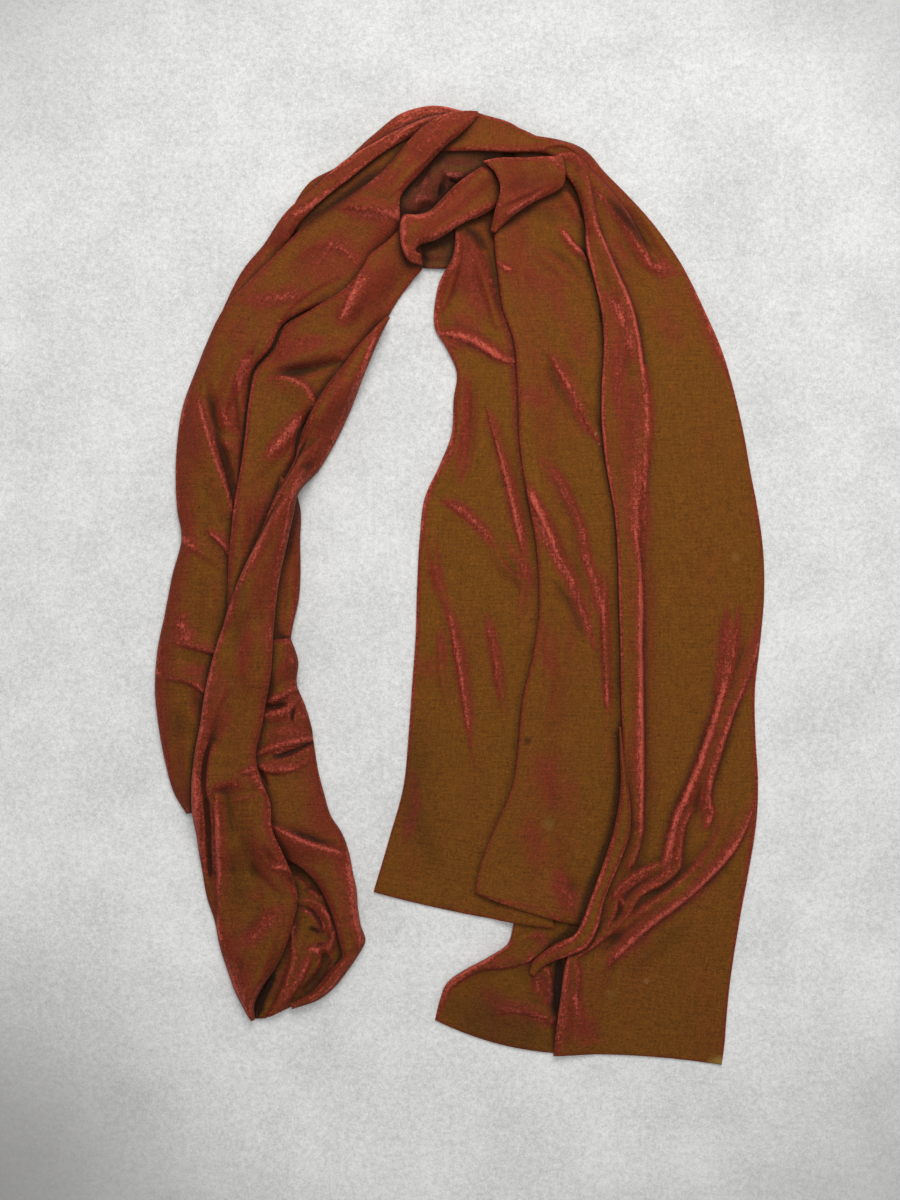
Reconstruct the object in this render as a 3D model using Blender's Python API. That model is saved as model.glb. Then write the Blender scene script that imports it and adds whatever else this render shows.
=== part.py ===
"""Velvet scarf, folded in half and laid down in an arch.

Doubled silk velvet, turned and pressed along its edges, lies on a flat surface. From its
bight at the lower left both halves run up one leg, over an arch with a tucked twist, and
down again as a short and a long tail. All tables are in millimetres: +X to the right,
+Y up the picture, +Z up from the surface, with the origin under the middle of the scarf.
"""
import bmesh
import bpy
import numpy as np

# Driving sizes in millimetres.
WALL = 2.4            # two layers of velvet, pile included
SLACK = 0.6           # air that the two layers may hold before they lift off what they lie on
REST_GAP = 0.6        # between a stretch and what it lies on
RIM = 4.5             # how far in from its edge a folded edge is rounded
FOLD_STEPS = 16       # points along the crest of a fold
REACH = 8             # how far around a lower stretch the one above it is held up
EASE = 5              # how far that support is smoothed
CELL = 1.0            # cell of the height map
MAP_LEFT, MAP_LOW = -240.0, -360.0
MAP_COLUMNS, MAP_ROWS = 480, 720
MM = 0.001

VELVET = (0.150, 0.047, 0.013)
VELVET_DEEP = (0.090, 0.028, 0.010)
ROUGHNESS = 0.72

# Columns of a section table: left x, left y, right x, right y, thickness over what lies
# below at the left edge, in the middle and at the right edge, bow of the section forward.
# Columns of a fold table: start x, y, middle x, y, end x, y, height at each, half width, lean.

for old in list(bpy.data.objects):
    bpy.data.objects.remove(old)

tops = {}


def through(at, values, wanted):
    """Smooth curve through the values given at increasing stations."""
    at = np.asarray(at, float)
    values = np.asarray(values, float)
    slopes = np.gradient(values, at, axis=0)
    first = np.clip(np.searchsorted(at, wanted, side="right") - 1, 0, len(at) - 2)
    step = at[first + 1] - at[first]
    s = ((wanted - at[first]) / step)[:, None]
    step = step[:, None]
    return ((2 * s ** 3 - 3 * s ** 2 + 1) * values[first]
            + (s ** 3 - 2 * s ** 2 + s) * step * slopes[first]
            + (3 * s ** 2 - 2 * s ** 3) * values[first + 1]
            + (s ** 3 - s ** 2) * step * slopes[first + 1])


def stations(sections):
    """Distance along the middle of the sections."""
    middle = (sections[:, 0:2] + sections[:, 2:4]) / 2
    steps = np.hypot(*np.diff(middle, axis=0).T)
    return np.concatenate(([0.0], np.cumsum(steps)))


def crests(points, folds):
    """Height that the folds add at each point: crests blended, troughs taken away."""
    rise = np.zeros(len(points))
    fall = np.zeros(len(points))
    t = np.linspace(0.0, 1.0, FOLD_STEPS)
    for x0, y0, x1, y1, x2, y2, h0, h1, h2, half, lean in folds:
        # the curve passes through its middle point
        bend = 2 * np.array((x1, y1)) - (np.array((x0, y0)) + np.array((x2, y2))) / 2
        line = (np.outer((1 - t) ** 2, (x0, y0)) + np.outer(2 * t * (1 - t), bend)
                + np.outer(t ** 2, (x2, y2)))
        way = np.diff(line, axis=0)
        length = np.maximum((way ** 2).sum(axis=1), 1e-9)
        away = points[:, None, :] - line[None, :-1, :]
        along = np.clip((away * way[None]).sum(axis=2) / length, 0.0, 1.0)
        off = away - along[..., None] * way[None]
        distance = np.hypot(off[..., 0], off[..., 1])
        near = distance.argmin(axis=1)
        pick = (np.arange(len(points)), near)
        side = np.sign(way[near, 0] * off[pick][:, 1] - way[near, 1] * off[pick][:, 0])
        place = (near + along[pick]) / (FOLD_STEPS - 1)
        height = np.interp(place, (0.0, 0.5, 1.0), (h0, h1, h2))
        x = distance[pick] / (half * (1 + side * lean))
        shape = np.where(x < 1, (1 - np.minimum(x, 1) ** 2) ** 2, 0.0)
        rise += np.maximum(height * shape, 0.0) ** 3
        fall = np.maximum(fall, -height * shape)
    return np.cbrt(rise) - fall


def cells(x, y):
    """Row and column of the height map under each point."""
    column = np.clip(((x - MAP_LEFT) / CELL).astype(int), 0, MAP_COLUMNS - 1)
    row = np.clip(((y - MAP_LOW) / CELL).astype(int), 0, MAP_ROWS - 1)
    return row, column


def spread(grid, reach, pick):
    """Largest or mean value of the map within reach of each cell, one way and then the other."""
    for axis in (0, 1):
        padded = np.pad(grid, [(reach, reach) if a == axis else (0, 0) for a in (0, 1)], mode="edge")
        shifted = [np.take(padded, range(k, k + grid.shape[axis]), axis=axis)
                   for k in range(2 * reach + 1)]
        grid = pick(shifted, axis=0)
    return grid


def fine(array, times):
    """The same grid of values with straight steps put in between."""
    rows, columns = array.shape
    down = np.linspace(0, rows - 1, (rows - 1) * times + 1)
    right = np.linspace(0, columns - 1, (columns - 1) * times + 1)
    half = np.array([np.interp(down, range(rows), array[:, c]) for c in range(columns)]).T
    return np.array([np.interp(right, range(columns), line) for line in half])


def spaced(count, length, rim):
    """Distances from 0 to length, closer together within rim of both ends."""
    ends = np.array((0.0, 0.3)) * rim
    inner = np.linspace(rim, length - rim, count - 4)
    return np.concatenate((ends, inner, length - ends[::-1]))


def velvet(name, colour):
    material = bpy.data.materials.new(name)
    material.use_nodes = True
    shader = material.node_tree.nodes["Principled BSDF"]
    shader.inputs["Base Color"].default_value = (*colour, 1.0)
    shader.inputs["Roughness"].default_value = ROUGHNESS
    shader.inputs["Metallic"].default_value = 0.0
    material.diffuse_color = (*colour, 1.0)
    return material


def stretch(name, across, along, sections, folds=(), over=(), rim=RIM, colour=VELVET,
            hollow=True):
    """One stretch of the scarf: a closed wall through its sections, laid on what is below."""
    sections = np.array(sections, float)
    at = stations(sections)
    run = spaced(along, at[-1], min(rim, 0.3 * at[-1]))
    lines = through(at, sections, run)
    left, right = lines[:, 0:2], lines[:, 2:4]
    width = np.hypot(*(right - left).T)
    edge = np.minimum(rim, 0.42 * width)
    off = np.array([spaced(across, w, e) for w, e in zip(width, edge)])
    u = off / width[:, None]
    # the section bows along the run of the stretch
    ahead = np.gradient((left + right) / 2, axis=0)
    ahead /= np.hypot(*ahead.T)[:, None]
    plan = (left[:, None] + (right - left)[:, None] * u[..., None]
            + (ahead * lines[:, 7:8])[:, None] * (4 * u * (1 - u))[..., None])
    x, y = plan[..., 0], plan[..., 1]
    toward = np.abs(2 * u - 1) ** 4
    sides = np.where(u < 0.5, lines[:, 4:5], lines[:, 6:7])
    thick = lines[:, 5:6] + (sides - lines[:, 5:6]) * toward
    thick = np.maximum(thick + crests(plan.reshape(-1, 2), folds).reshape(x.shape), WALL)

    dense = 14
    row, column = cells(fine(x, dense), fine(y, dense))
    below = np.full((MAP_ROWS, MAP_COLUMNS), -1.0)
    below[row, column] = 0.0
    own = below == 0.0
    for lower in over:
        below = np.where(own, np.maximum(below, tops[lower]), below)
    lifted = spread(spread(np.maximum(below, 0.0), REACH, np.max), EASE, np.mean)
    support = lifted[cells(x, y)]
    support += REST_GAP * np.clip(support, 0.0, 1.0)

    # distance to the nearest edge, as a share of the rim
    ends = np.minimum(run, run[-1] - run)[:, None] / min(rim, 0.3 * at[-1])
    near = np.minimum(np.minimum(off, width[:, None] - off) / edge[:, None], ends)
    rounding = np.sqrt(np.clip(1 - (1 - np.clip(near, 0, 1)) ** 2, 0, 1))
    inside = np.clip((near - 0.8) / 1.6, 0, 1)
    inside = inside * inside * (3 - 2 * inside)
    lift = np.maximum(thick - WALL - SLACK, 0.0) * inside * hollow
    under = support + lift
    upper = support + thick
    middle = (under + upper) / 2
    half = (upper - under) / 2 * rounding
    bottom = middle - half
    top = middle + half

    best = np.full((MAP_ROWS, MAP_COLUMNS), -1.0)
    np.maximum.at(best, (row, column), fine(top, dense))
    tops[name] = best

    mesh = bmesh.new()
    for height, turned in ((top, False), (bottom, True)):
        made = bmesh.ops.create_grid(mesh, x_segments=across - 1, y_segments=along - 1, size=1.0)
        corners = []
        for vert in made["verts"]:
            j = round((vert.co.x + 1) / 2 * (across - 1))
            i = round((vert.co.y + 1) / 2 * (along - 1))
            if i in (0, along - 1) and j in (0, across - 1):
                corners.append(vert)
            vert.co = (x[i, j] * MM, y[i, j] * MM, height[i, j] * MM)
        if turned:
            faces = {face for vert in made["verts"] for face in vert.link_faces}
            bmesh.ops.reverse_faces(mesh, faces=list(faces))
        for corner in corners:
            face = corner.link_faces[0]
            across_it = [v for v in face.verts if not any(v in e.verts for e in corner.link_edges)]
            bmesh.ops.connect_verts(mesh, verts=[corner, across_it[0]])
    bmesh.ops.remove_doubles(mesh, verts=mesh.verts, dist=1e-7)
    bmesh.ops.recalc_face_normals(mesh, faces=mesh.faces)
    data = bpy.data.meshes.new(name)
    mesh.to_mesh(data)
    mesh.free()
    data.shade_smooth()
    data.materials.append(velvet("velvet_" + name, colour))
    made = bpy.data.objects.new(name, data)
    bpy.context.scene.collection.objects.link(made)
    return made


# Hidden layers under the arch and under the left leg.

stretch("hidden_arch", 7, 12, (
    (-122, 240, -88, 214, 5, 7, 5, 0),
    (-104, 258, -70, 234, 6, 8, 6, 0),
    (-78, 281, -52, 252, 6, 9, 6, 0),
    (-46, 304, -36, 274, 6, 9, 6, 0),
    (-14, 316, -14, 287, 6, 9, 6, 0),
    (16, 314, 14, 290, 6, 8, 6, 0),
    (44, 303, 42, 284, 5, 7, 5, 0),
    (66, 296, 60, 276, 4, 5, 4, 0),
), colour=VELVET_DEEP, hollow=False)

stretch("hidden_leg", 7, 16, (
    (-140, 218, -80, 203, 5, 7, 5, 0),
    (-160, 186, -72, 174, 6, 9, 6, 0),
    (-174, 150, -86, 144, 6, 9, 6, 0),
    (-182, 110, -102, 108, 6, 9, 6, 0),
    (-186, 70, -118, 72, 6, 9, 6, 0),
    (-186, 30, -124, 30, 6, 9, 6, 0),
    (-192, -10, -126, -10, 6, 9, 6, 0),
    (-198, -50, -126, -50, 6, 9, 6, 0),
    (-198, -90, -118, -90, 6, 9, 6, 0),
    (-192, -125, -112, -122, 6, 9, 6, 0),
    (-178, -155, -106, -152, 6, 8, 6, 0),
    (-172, -182, -98, -178, 5, 6, 5, 0),
), colour=VELVET_DEEP, hollow=False)

# The arch, from its outermost band inwards.

stretch("arch_back", 7, 20, (
    (-122, 253, -106, 240, 4, 3, 3, 0),
    (-104, 282, -84, 257, 6, 3, 3, 0),
    (-84, 293, -68, 268, 6, 4, 3, 0),
    (-62, 313, -50, 284, 7, 5, 3, 0),
    (-40, 330, -32, 298, 8, 6, 3, 0),
    (-18, 335, -16, 304, 8, 6, 3, 0),
    (4, 330.5, 2, 304, 8, 6, 3, 0),
    (24, 324, 20, 303, 7, 5, 3, 0),
    (42, 319, 38, 301, 6, 4, 3, 0),
    (59, 311, 54, 299, 5, 3, 3, 0),
), (
    (-96, 278, -62, 302, -30, 322, 1, 3, 2, 9, 0.2),
), over=("hidden_arch",))

stretch("arch_outer", 6, 20, (
    (-171, 179, -163, 182, 5, 4, 4, 0),
    (-163, 197, -152, 196, 6, 5, 4, 0),
    (-153, 217, -140, 212, 6, 5, 4, 0),
    (-136, 239, -124, 230, 7, 6, 5, 0),
    (-119, 260, -111, 251, 7, 6, 5, 0),
    (-102, 275, -95, 267, 6, 5, 5, 0),
    (-82, 292, -75, 282, 6, 5, 5, 0),
    (-60, 305, -53, 298.5, 6, 5, 5, 0),
    (-42, 315, -37, 308, 5, 5, 5, 0),
    (-22, 323.5, -18, 314, 5, 5, 5, 0),
    (-4, 326.5, -2, 316, 5, 4, 4, 0),
    (8, 327.5, 9, 318, 4, 4, 4, 0),
), over=("hidden_arch", "hidden_leg", "arch_back"), rim=4)

stretch("twist_inner", 8, 10, (
    (-47, 271, -43, 246, 4, 4, 4, 0),
    (-32, 285, -27, 250, 4, 5, 4, 0),
    (-22, 294, -15, 256, 4, 5, 4, 0),
    (-11, 303, -6, 264, 4, 4, 4, 0),
    (2, 305, 6, 272, 4, 4, 4, 0),
    (16, 303, 18, 280, 4, 4, 4, 0),
    (30, 301, 30, 286, 4, 4, 4, 0),
), (
    (-36, 262, -26, 268, -14, 268, 3, 7, 3, 8, 0.2),
    (-24, 276, -18, 286, -10, 298, 2, 5, 2, 4, 0.2),
    (-8, 290, 2, 294, 14, 298, 4, 6, 3, 8, 0.2),
    (-40, 270, -33, 276, -26, 284, 4, 3, 2, 5, 0.0),
), over=("hidden_arch", "arch_back"), rim=3, colour=VELVET_DEEP)

stretch("twist_under", 6, 8, (
    (-38, 238, -34, 223.5, 7, 6, 6, 0),
    (-27, 243, -26, 222, 6, 5, 6, 0),
    (-15, 244, -15, 221.5, 5, 4, 6, 0),
    (-4, 244, -7.5, 223.5, 4, 4, 5, 0),
), (
    (-32, 234, -20, 231, -8, 231, 1, 4, 2, 6, 0.2),
), rim=3, colour=VELVET_DEEP)

# The two tails.

stretch("tail_flap", 10, 12, (
    (39, -228, 86, -226, 4, 2.8, 3, 0),
    (37, -238, 90, -238, 5, 2.8, 3, 0),
    (33, -250, 92, -250, 6, 2.8, 3, 0),
    (18, -260, 90, -262, 7, 2.8, 3, 0),
    (3, -268, 86, -276, 7, 2.8, 3, 0),
    (-9, -277, 82, -292, 6, 2.8, 3, 0),
    (-14, -289, 79, -309, 4, 3, 3, 2),
    (-17.5, -303.5, 77, -327, 2.6, 2.6, 2.6, 5.5),
), (
    (36, -257, 12, -266, -8, -277, 2, 3, 1, 7, 0.2),
    (50, -262, 48, -272, 56, -288, 5, 5, 1, 9, 0.2),
    (56, -266, 62, -280, 62, -300, 3, 4, 3, 8, -0.4),
), rim=3.5)

stretch("tail_short_lower", 11, 30, (
    (-7, 262, 30, 262, 4, 3, 3, 0),
    (-3.5, 244, 29, 240, 6, 4, 3, 0),
    (-5, 229, 31, 227, 7, 4, 3, 0),
    (-13.5, 214, 34, 211, 6, 4, 3, 0),
    (-17.5, 198, 38, 194, 5, 4, 3, 0),
    (-17.5, 180, 42, 178, 5, 4, 3, 0),
    (-9, 165, 46, 163, 5, 4, 3, 0),
    (-2.5, 150, 48, 148, 5, 4, 3, 0),
    (-4.5, 130, 49, 128, 5, 4, 3, 0),
    (-6, 106, 50, 106, 5, 4, 3, 0),
    (-14, 85, 52, 84, 5, 4, 3, 0),
    (-24.5, 62, 58, 60, 4, 4, 3, 0),
    (-28, 35, 64, 34, 4, 4, 3, 0),
    (-30, 0, 66, 0, 4, 4, 3, 0),
    (-31, -35, 64, -35, 4, 4, 3, 0),
    (-33.5, -70, 58, -70, 4, 3.4, 3, 0),
    (-36, -105, 54, -110, 3.5, 3, 3, 0),
    (-39.5, -140, 50, -148, 3, 2.8, 3, 0),
    (-49, -175, 56, -190, 3, 2.8, 3, 0),
    (-60.5, -214, 66, -239, 2.6, 2.6, 2.6, 2.5),
), (
    (-6, 240, -6, 212, -12, 184, 2, 5, 3, 7, 0.2),
    (8, 242, 12, 214, 14, 186, 3, 4, 2, 9, 0.2),
    (17, 238, 22, 204, 34, 168, 4, 4, 4, 6, -0.3),
    (-10, 177, 12, 171, 34, 158, 4, 5, 2, 6, -0.3),
    (4, 150, 8, 112, 4, 78, -1.4, -1.6, -1.0, 9, 0.0),
    (22, 128, 32, 82, 42, 30, 3, 4, 3, 6, -0.3),
    (-10, 60, 8, 47, 26, 22, 2, 3, 3, 8, 0.2),
    (22, 34, 32, 13, 50, 3, 3, 4, 1, 8, -0.3),
    (-20, 38, -14, -4, -5, -30, 1, 3, 3, 8, 0.2),
    (-5, -26, 1, -62, 10, -118, 3, 3.5, 1, 7, 0.2),
    (18, -18, 26, -58, 31, -98, 1, 3, 1, 6, 0.2),
    (-14, -20, -13, -56, -8, -88, 1, 2.5, 1, 6, 0.2),
), over=("tail_flap", "twist_under"))

stretch("tail_short_upper", 11, 26, (
    (36, 292, 74, 297, 4, 4, 3, 0),
    (32, 276, 88, 276, 4, 4, 3, 0),
    (24, 252, 94, 252, 4, 4, 3, 0),
    (24.5, 232, 98, 234, 5, 4, 3, 0),
    (27, 212, 104, 212, 5, 4, 3, 0),
    (30, 192, 110, 190, 4, 4, 3, 0),
    (37, 172, 110, 172, 4, 4, 3, 0),
    (39.5, 148, 109, 148, 4, 4, 3, 0),
    (40.5, 126, 108, 126, 4, 4, 3, 0),
    (41, 106, 110, 104, 4, 4, 3, 0),
    (43.5, 82, 114, 80, 4, 4, 3, 0),
    (48.5, 54, 118, 52, 4, 4, 3, 0),
    (53, 28, 120, 26, 4, 4, 3, 0),
    (55, 0, 121, 0, 4, 4, 3, 0),
    (54.5, -25, 122, -25, 4, 4, 3, 0),
    (50, -52, 122, -52, 4, 4, 3, 0),
    (43.5, -80, 122, -80, 4, 3.6, 3, 0),
    (40.5, -112, 122, -112, 4, 3.2, 3, 0),
    (36, -141, 120, -146, 3, 2.8, 3, 0),
    (24.5, -168, 112, -180, 3, 2.8, 3, 0),
    (14, -195, 100, -212, 3, 2.8, 3, 0),
    (10.5, -214, 84, -237, 2.6, 2.6, 2.6, 1.5),
), (
    (60, 166, 80, 136, 98, 106, 2, 3.5, 3, 7, -0.2),
    (66, 88, 82, 54, 90, 14, 2, 4, 2, 7, 0.2),
    (54, 62, 63, 24, 88, -16, 4, 5, 3, 6, -0.3),
    (74, 250, 80, 240, 88, 230, 3, 4, 3, 5, 0.3),
    (40, 232, 60, 214, 76, 188, 1, 3, 1, 10, 0.2),
    (48, 200, 64, 160, 66, 124, 1, 2.5, 1, 9, 0.2),
    (92, 10, 99, -30, 103, -92, 2, 3.5, 1, 6, -0.3),
    (60, -16, 62, -60, 56, -104, 1, 2, 1, 7, 0.2),
    (104, -20, 106, -80, 104, -150, 3, 4, 3, 6, 0.2),
), over=("hidden_arch", "tail_flap", "tail_short_lower"))

stretch("tail_long", 16, 38, (
    (-2, 301, 8, 326, 4, 4, 4, 0),
    (12, 299.5, 16, 324.5, 5, 5, 5, 0),
    (32, 299, 32, 321, 5, 5, 6, 0),
    (50, 300, 50, 312, 5, 5, 6, 0),
    (62, 298, 68, 309.5, 5, 5, 6, 0),
    (68, 289, 86, 304, 6, 7, 6, 0),
    (78, 279, 101, 289, 7, 6, 5, 0),
    (84, 265, 118, 272, 7, 6, 5, 0),
    (87, 250, 135, 253, 7, 5, 5, 0),
    (88, 232, 152, 229, 7, 5, 5, 0),
    (93, 214, 162, 211, 7, 4, 5, 0),
    (98, 192, 172, 190, 7, 4, 5, 0),
    (100, 168, 182.5, 166, 7, 4, 4, 0),
    (98.5, 138, 191, 138, 7, 4, 4, 0),
    (98.5, 112, 198, 108, 7, 4, 4, 0),
    (101.5, 84, 203, 80, 6, 2.7, 3.6, 0),
    (107, 54, 208, 54, 6, 2.7, 3.4, 0),
    (109.5, 24, 212, 24, 6, 2.7, 3.4, 0),
    (110.5, -8, 212.5, -8, 6, 2.7, 3.4, 0),
    (111.5, -42, 209.5, -42, 6, 2.7, 3.4, 0),
    (112, -76, 206.3, -72, 6, 2.7, 3.4, 0),
    (113, -108, 206.5, -104, 6, 2.7, 3.4, 0),
    (112, -140, 208.3, -138, 5, 3.4, 4, 0),
    (107, -170, 207, -166, 5, 4, 4, 0),
    (98, -200, 202, -198, 5, 4, 4, 0),
    (88, -224, 196.5, -228, 5, 4, 3.4, 0),
    (79, -246, 192, -255, 5, 2.8, 3, 0),
    (73, -264, 188.5, -279, 6, 2.7, 3, 0),
    (70, -286, 186.3, -302, 6, 2.7, 3, 0),
    (67, -308, 185, -320, 5, 2.8, 3, 0),
    (65, -328, 183, -335, 3, 2.6, 2.6, -3),
), (
    (72, 297, 91, 272, 100, 236, 3, 5, 5, 7, -0.3),
    (98, 242, 114, 203, 127, 152, 5, 5, 3, 9, -0.3),
    (90, 292, 112, 262, 136, 222, 3, 5, 2, 8, 0.3),
    (128, 150, 131, 108, 123, 44, 3, 3, 3, 10, 0.0),
    (123, 44, 126, -50, 126, -150, 3, 4, 4, 8, -0.2),
    (126, -150, 127, -172, 112, -200, 4, 6, 5, 8, -0.2),
    (187, -24, 181, -78, 160, -130, 2, 5, 6, 9, 0.2),
    (160, -130, 148, -160, 146, -186, 6, 6, 6, 8, 0.2),
    (146, -186, 136, -204, 110, -212, 6, 6, 6, 8, 0.2),
    (206, -52, 182, -106, 173, -164, 5, 6, 3, 8, -0.3),
    (205, -160, 172, -202, 128, -234, 4, 5, 5, 9, -0.2),
    (128, -234, 112, -248, 98, -264, 5, 4, 1, 9, -0.2),
    (120, -210, 112, -230, 88, -250, 5, 6, 5, 7, 0.2),
    (78, -256, 74, -290, 72, -328, 4, 5, 3, 7, 0.2),
    (85, -262, 84, -284, 84, -304, 2, 3, 1, 6, 0.0),
), over=("hidden_arch", "arch_back", "arch_outer", "twist_inner", "tail_flap",
         "tail_short_lower", "tail_short_upper"))

stretch("tail_gather", 6, 22, (
    (110.5, -112, 114, -112, 3, 3, 3, 0),
    (111.5, -132, 116, -132, 4, 4, 4, 0),
    (110, -152, 118.5, -152, 5, 5, 5, 0),
    (106.5, -170, 117.5, -172, 5, 6, 5, 0),
    (101.5, -186, 111.5, -190, 5, 6, 5, 0),
    (95, -204, 104, -207, 5, 6, 5, 0),
    (89.5, -218, 98.5, -221, 5, 6, 5, 0),
    (85, -231, 95.5, -235, 5, 6, 5, 0),
    (79, -241.5, 88, -250, 5, 6, 5, 0),
    (68, -247, 74, -257, 5, 5, 5, 0),
    (57, -254, 62, -262.5, 5, 5, 5, 0),
    (49, -261, 56, -268, 4, 4, 4, 0),
    (44.5, -271, 54, -275, 3, 3, 3, 0),
), over=("tail_flap", "tail_short_lower", "tail_short_upper", "tail_long"), rim=3.5)

# The runs of the left leg.

stretch("run_outer", 9, 42, (
    (8, 325.5, 13, 320.5, 4, 4, 4, 0),
    (-8, 324, 1, 311, 5, 5, 5, 0),
    (-22, 317.5, -9, 302, 6, 6, 6, 0),
    (-34, 307.5, -20, 292, 6, 6, 6, 0),
    (-45, 295, -30, 281.5, 6, 6, 6, 0),
    (-60, 280, -41, 268, 7, 6, 6, 0),
    (-82, 266, -42, 249, 7, 6, 6, 0),
    (-102, 255, -53, 238, 7, 6, 6, 0),
    (-117, 240, -66, 223, 7, 6, 6, 0),
    (-132, 225, -84, 203, 7, 6, 7, 0),
    (-149, 208, -105, 191.5, 7, 6, 7, 0),
    (-163, 193, -123, 181, 6, 6, 7, 0),
    (-175, 172, -131, 165, 6, 6, 7, 0),
    (-185, 148, -144, 149, 6, 6, 5, 0),
    (-193.5, 125, -148, 127, 6, 5, 4, 0),
    (-197.5, 100, -151, 102, 6, 5, 4, 0),
    (-198.5, 78, -152, 78, 7, 5, 4, 0),
    (-197.2, 52, -149, 52, 7, 5, 4, 0),
    (-194, 34, -149, 33, 7, 5, 4, 0),
    (-200.5, 8, -150, 8, 7, 5, 4, 0),
    (-206, -20, -151, -20, 7, 5, 4, 0),
    (-211.5, -47, -158, -47, 7, 5, 4, 0),
    (-213, -73, -164, -73, 7, 5, 4, 0),
    (-210.5, -97, -168, -98, 7, 5, 4, 0),
    (-206, -122, -172, -120, 6, 5, 4, 0),
    (-199, -146, -175, -141, 6, 5, 4, 0),
    (-191, -159, -180, -157, 5, 4, 4, 0),
), (
    (-84, 258, -64, 258, -44, 254, 4, 6, 3, 7, -0.3),
    (-112, 248, -92, 262, -70, 268, 3, 4, 3, 8, 0.3),
    (-106, 205, -122, 200, -140, 190, 4, 5, 2, 12, 0.2),
    (-141, 172, -154, 148, -162, 122, 5, 6, 4, 11, -0.2),
    (-164, 150, -172, 132, -168, 108, -2, -3, -3, 8, 0.0),
    (-182, 124, -172, 98, -160, 60, 4, 6, 5, 8, -0.3),
    (-166, 96, -160, 82, -157, 66, -3, -4, -3, 6, 0.0),
    (-174, 36, -165, 30, -158, 20, 1, 4, 2, 8, 0.4),
    (-196, 34, -176, 16, -160, 4, 3, 4, 2, 12, 0.2),
    (-208, -44, -190, -34, -168, -44, 4, 5, 3, 9, -0.4),
    (-211, -60, -192, -64, -176, -72, 4, 5, 3, 9, -0.4),
    (-186, -94, -190, -118, -192, -146, -2, -2.5, -2, 8, 0.0),
), over=("hidden_arch", "hidden_leg", "arch_back", "arch_outer", "twist_inner", "tail_long"))

stretch("run_middle", 9, 30, (
    (-41.5, 247, -28, 238, 4, 4, 4, 0),
    (-50, 239, -26, 222, 4, 4, 6, 0),
    (-62.5, 229, -32, 214, 4, 4, 6, 0),
    (-68, 219, -41, 203, 4, 4, 6, 0),
    (-81, 204.5, -50, 188, 4, 5, 6, 0),
    (-102, 191.5, -57, 174, 4, 5, 4, 0),
    (-121, 181, -64, 161, 4, 6, 4, 0),
    (-128.5, 165, -73, 148, 4, 6, 4, 0),
    (-141.5, 149, -84, 138, 6, 6, 4, 0),
    (-146, 129, -97, 125, 7, 7, 5, 0),
    (-148.5, 106, -111.5, 108, 7, 7, 5, 0),
    (-151.5, 82, -116, 84, 7, 6, 4, 0),
    (-155, 60, -119, 61, 7, 6, 4, 0),
    (-157.5, 38, -129, 38, 6, 5, 4, 0),
    (-159.5, 16, -139, 16, 5, 5, 4, 0),
    (-160.3, -1, -147, -2, 5, 4, 4, 0),
    (-160.3, -16, -153, -17, 4, 4, 4, 0),
), (
    (-66, 222, -76, 202, -83, 182, 3, 5, 3, 7, 0.2),
    (-84, 166, -106, 168, -126, 168, 2, 5, 3, 9, 0.2),
    (-128, 150, -110, 153, -94, 156, -1, -3, -3, 6, 0.0),
    (-130, 143, -114, 140, -102, 130, 3, 5, 4, 7, -0.3),
    (-106, 120, -122, 104, -140, 82, 3, 5, 2, 8, 0.2),
), over=("hidden_arch", "hidden_leg", "run_outer", "twist_under"))

stretch("run_inner", 6, 12, (
    (-124, 76, -114, 68, 4, 4, 5, 0),
    (-127, 54, -110.6, 52, 4, 4, 6, 0),
    (-129, 32, -111.4, 32, 4, 4, 6, 0),
    (-133, 10, -111.3, 8, 4, 4, 6, 0),
    (-135, -10, -112.5, -10, 4, 4, 6, 0),
    (-137, -28, -116, -26, 4, 4, 6, 0),
    (-138, -46, -118.5, -40, 4, 5, 5, 0),
    (-137, -62, -120.5, -48.5, 4, 4, 4, 0),
), (
    (-116, 14, -116, -14, -119, -44, 2, 3, 3, 5, 0.2),
), over=("hidden_leg", "run_middle"), rim=4)

stretch("bight_inner", 12, 16, (
    (-126, -180, -100, -178, 4, 4, 4, 0),
    (-126, -196, -90, -192, 4, 4, 4, 0),
    (-124, -214, -82, -210, 4, 4, 4, 0),
    (-124, -232, -77, -228, 4, 4, 4, 0),
    (-128, -248, -73, -246, 4, 4, 4, 0),
    (-133, -262, -78, -262, 4, 5, 4, 0),
    (-139, -275, -88, -276, 4, 6, 4, 0),
    (-144.5, -286, -103, -287, 5, 6, 4, 0),
    (-147, -295, -119, -294.5, 5, 6, 5, 0),
    (-145.5, -302.5, -136, -302, 5, 5, 5, 0),
), (
    (-110, -218, -96, -224, -90, -244, 7, 9, 8, 5, 0.2),
    (-90, -244, -95, -253, -112, -254, 8, 8, 5, 5, 0.2),
    (-112, -226, -110, -240, -114, -256, 6, 8, 8, 5, 0.2),
    (-116, -244, -116, -266, -130, -296, 6, 9, 6, 6, 0.2),
    (-103, -256, -110, -274, -124, -294, 6, 9, 6, 7, 0.2),
), rim=4)

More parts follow.
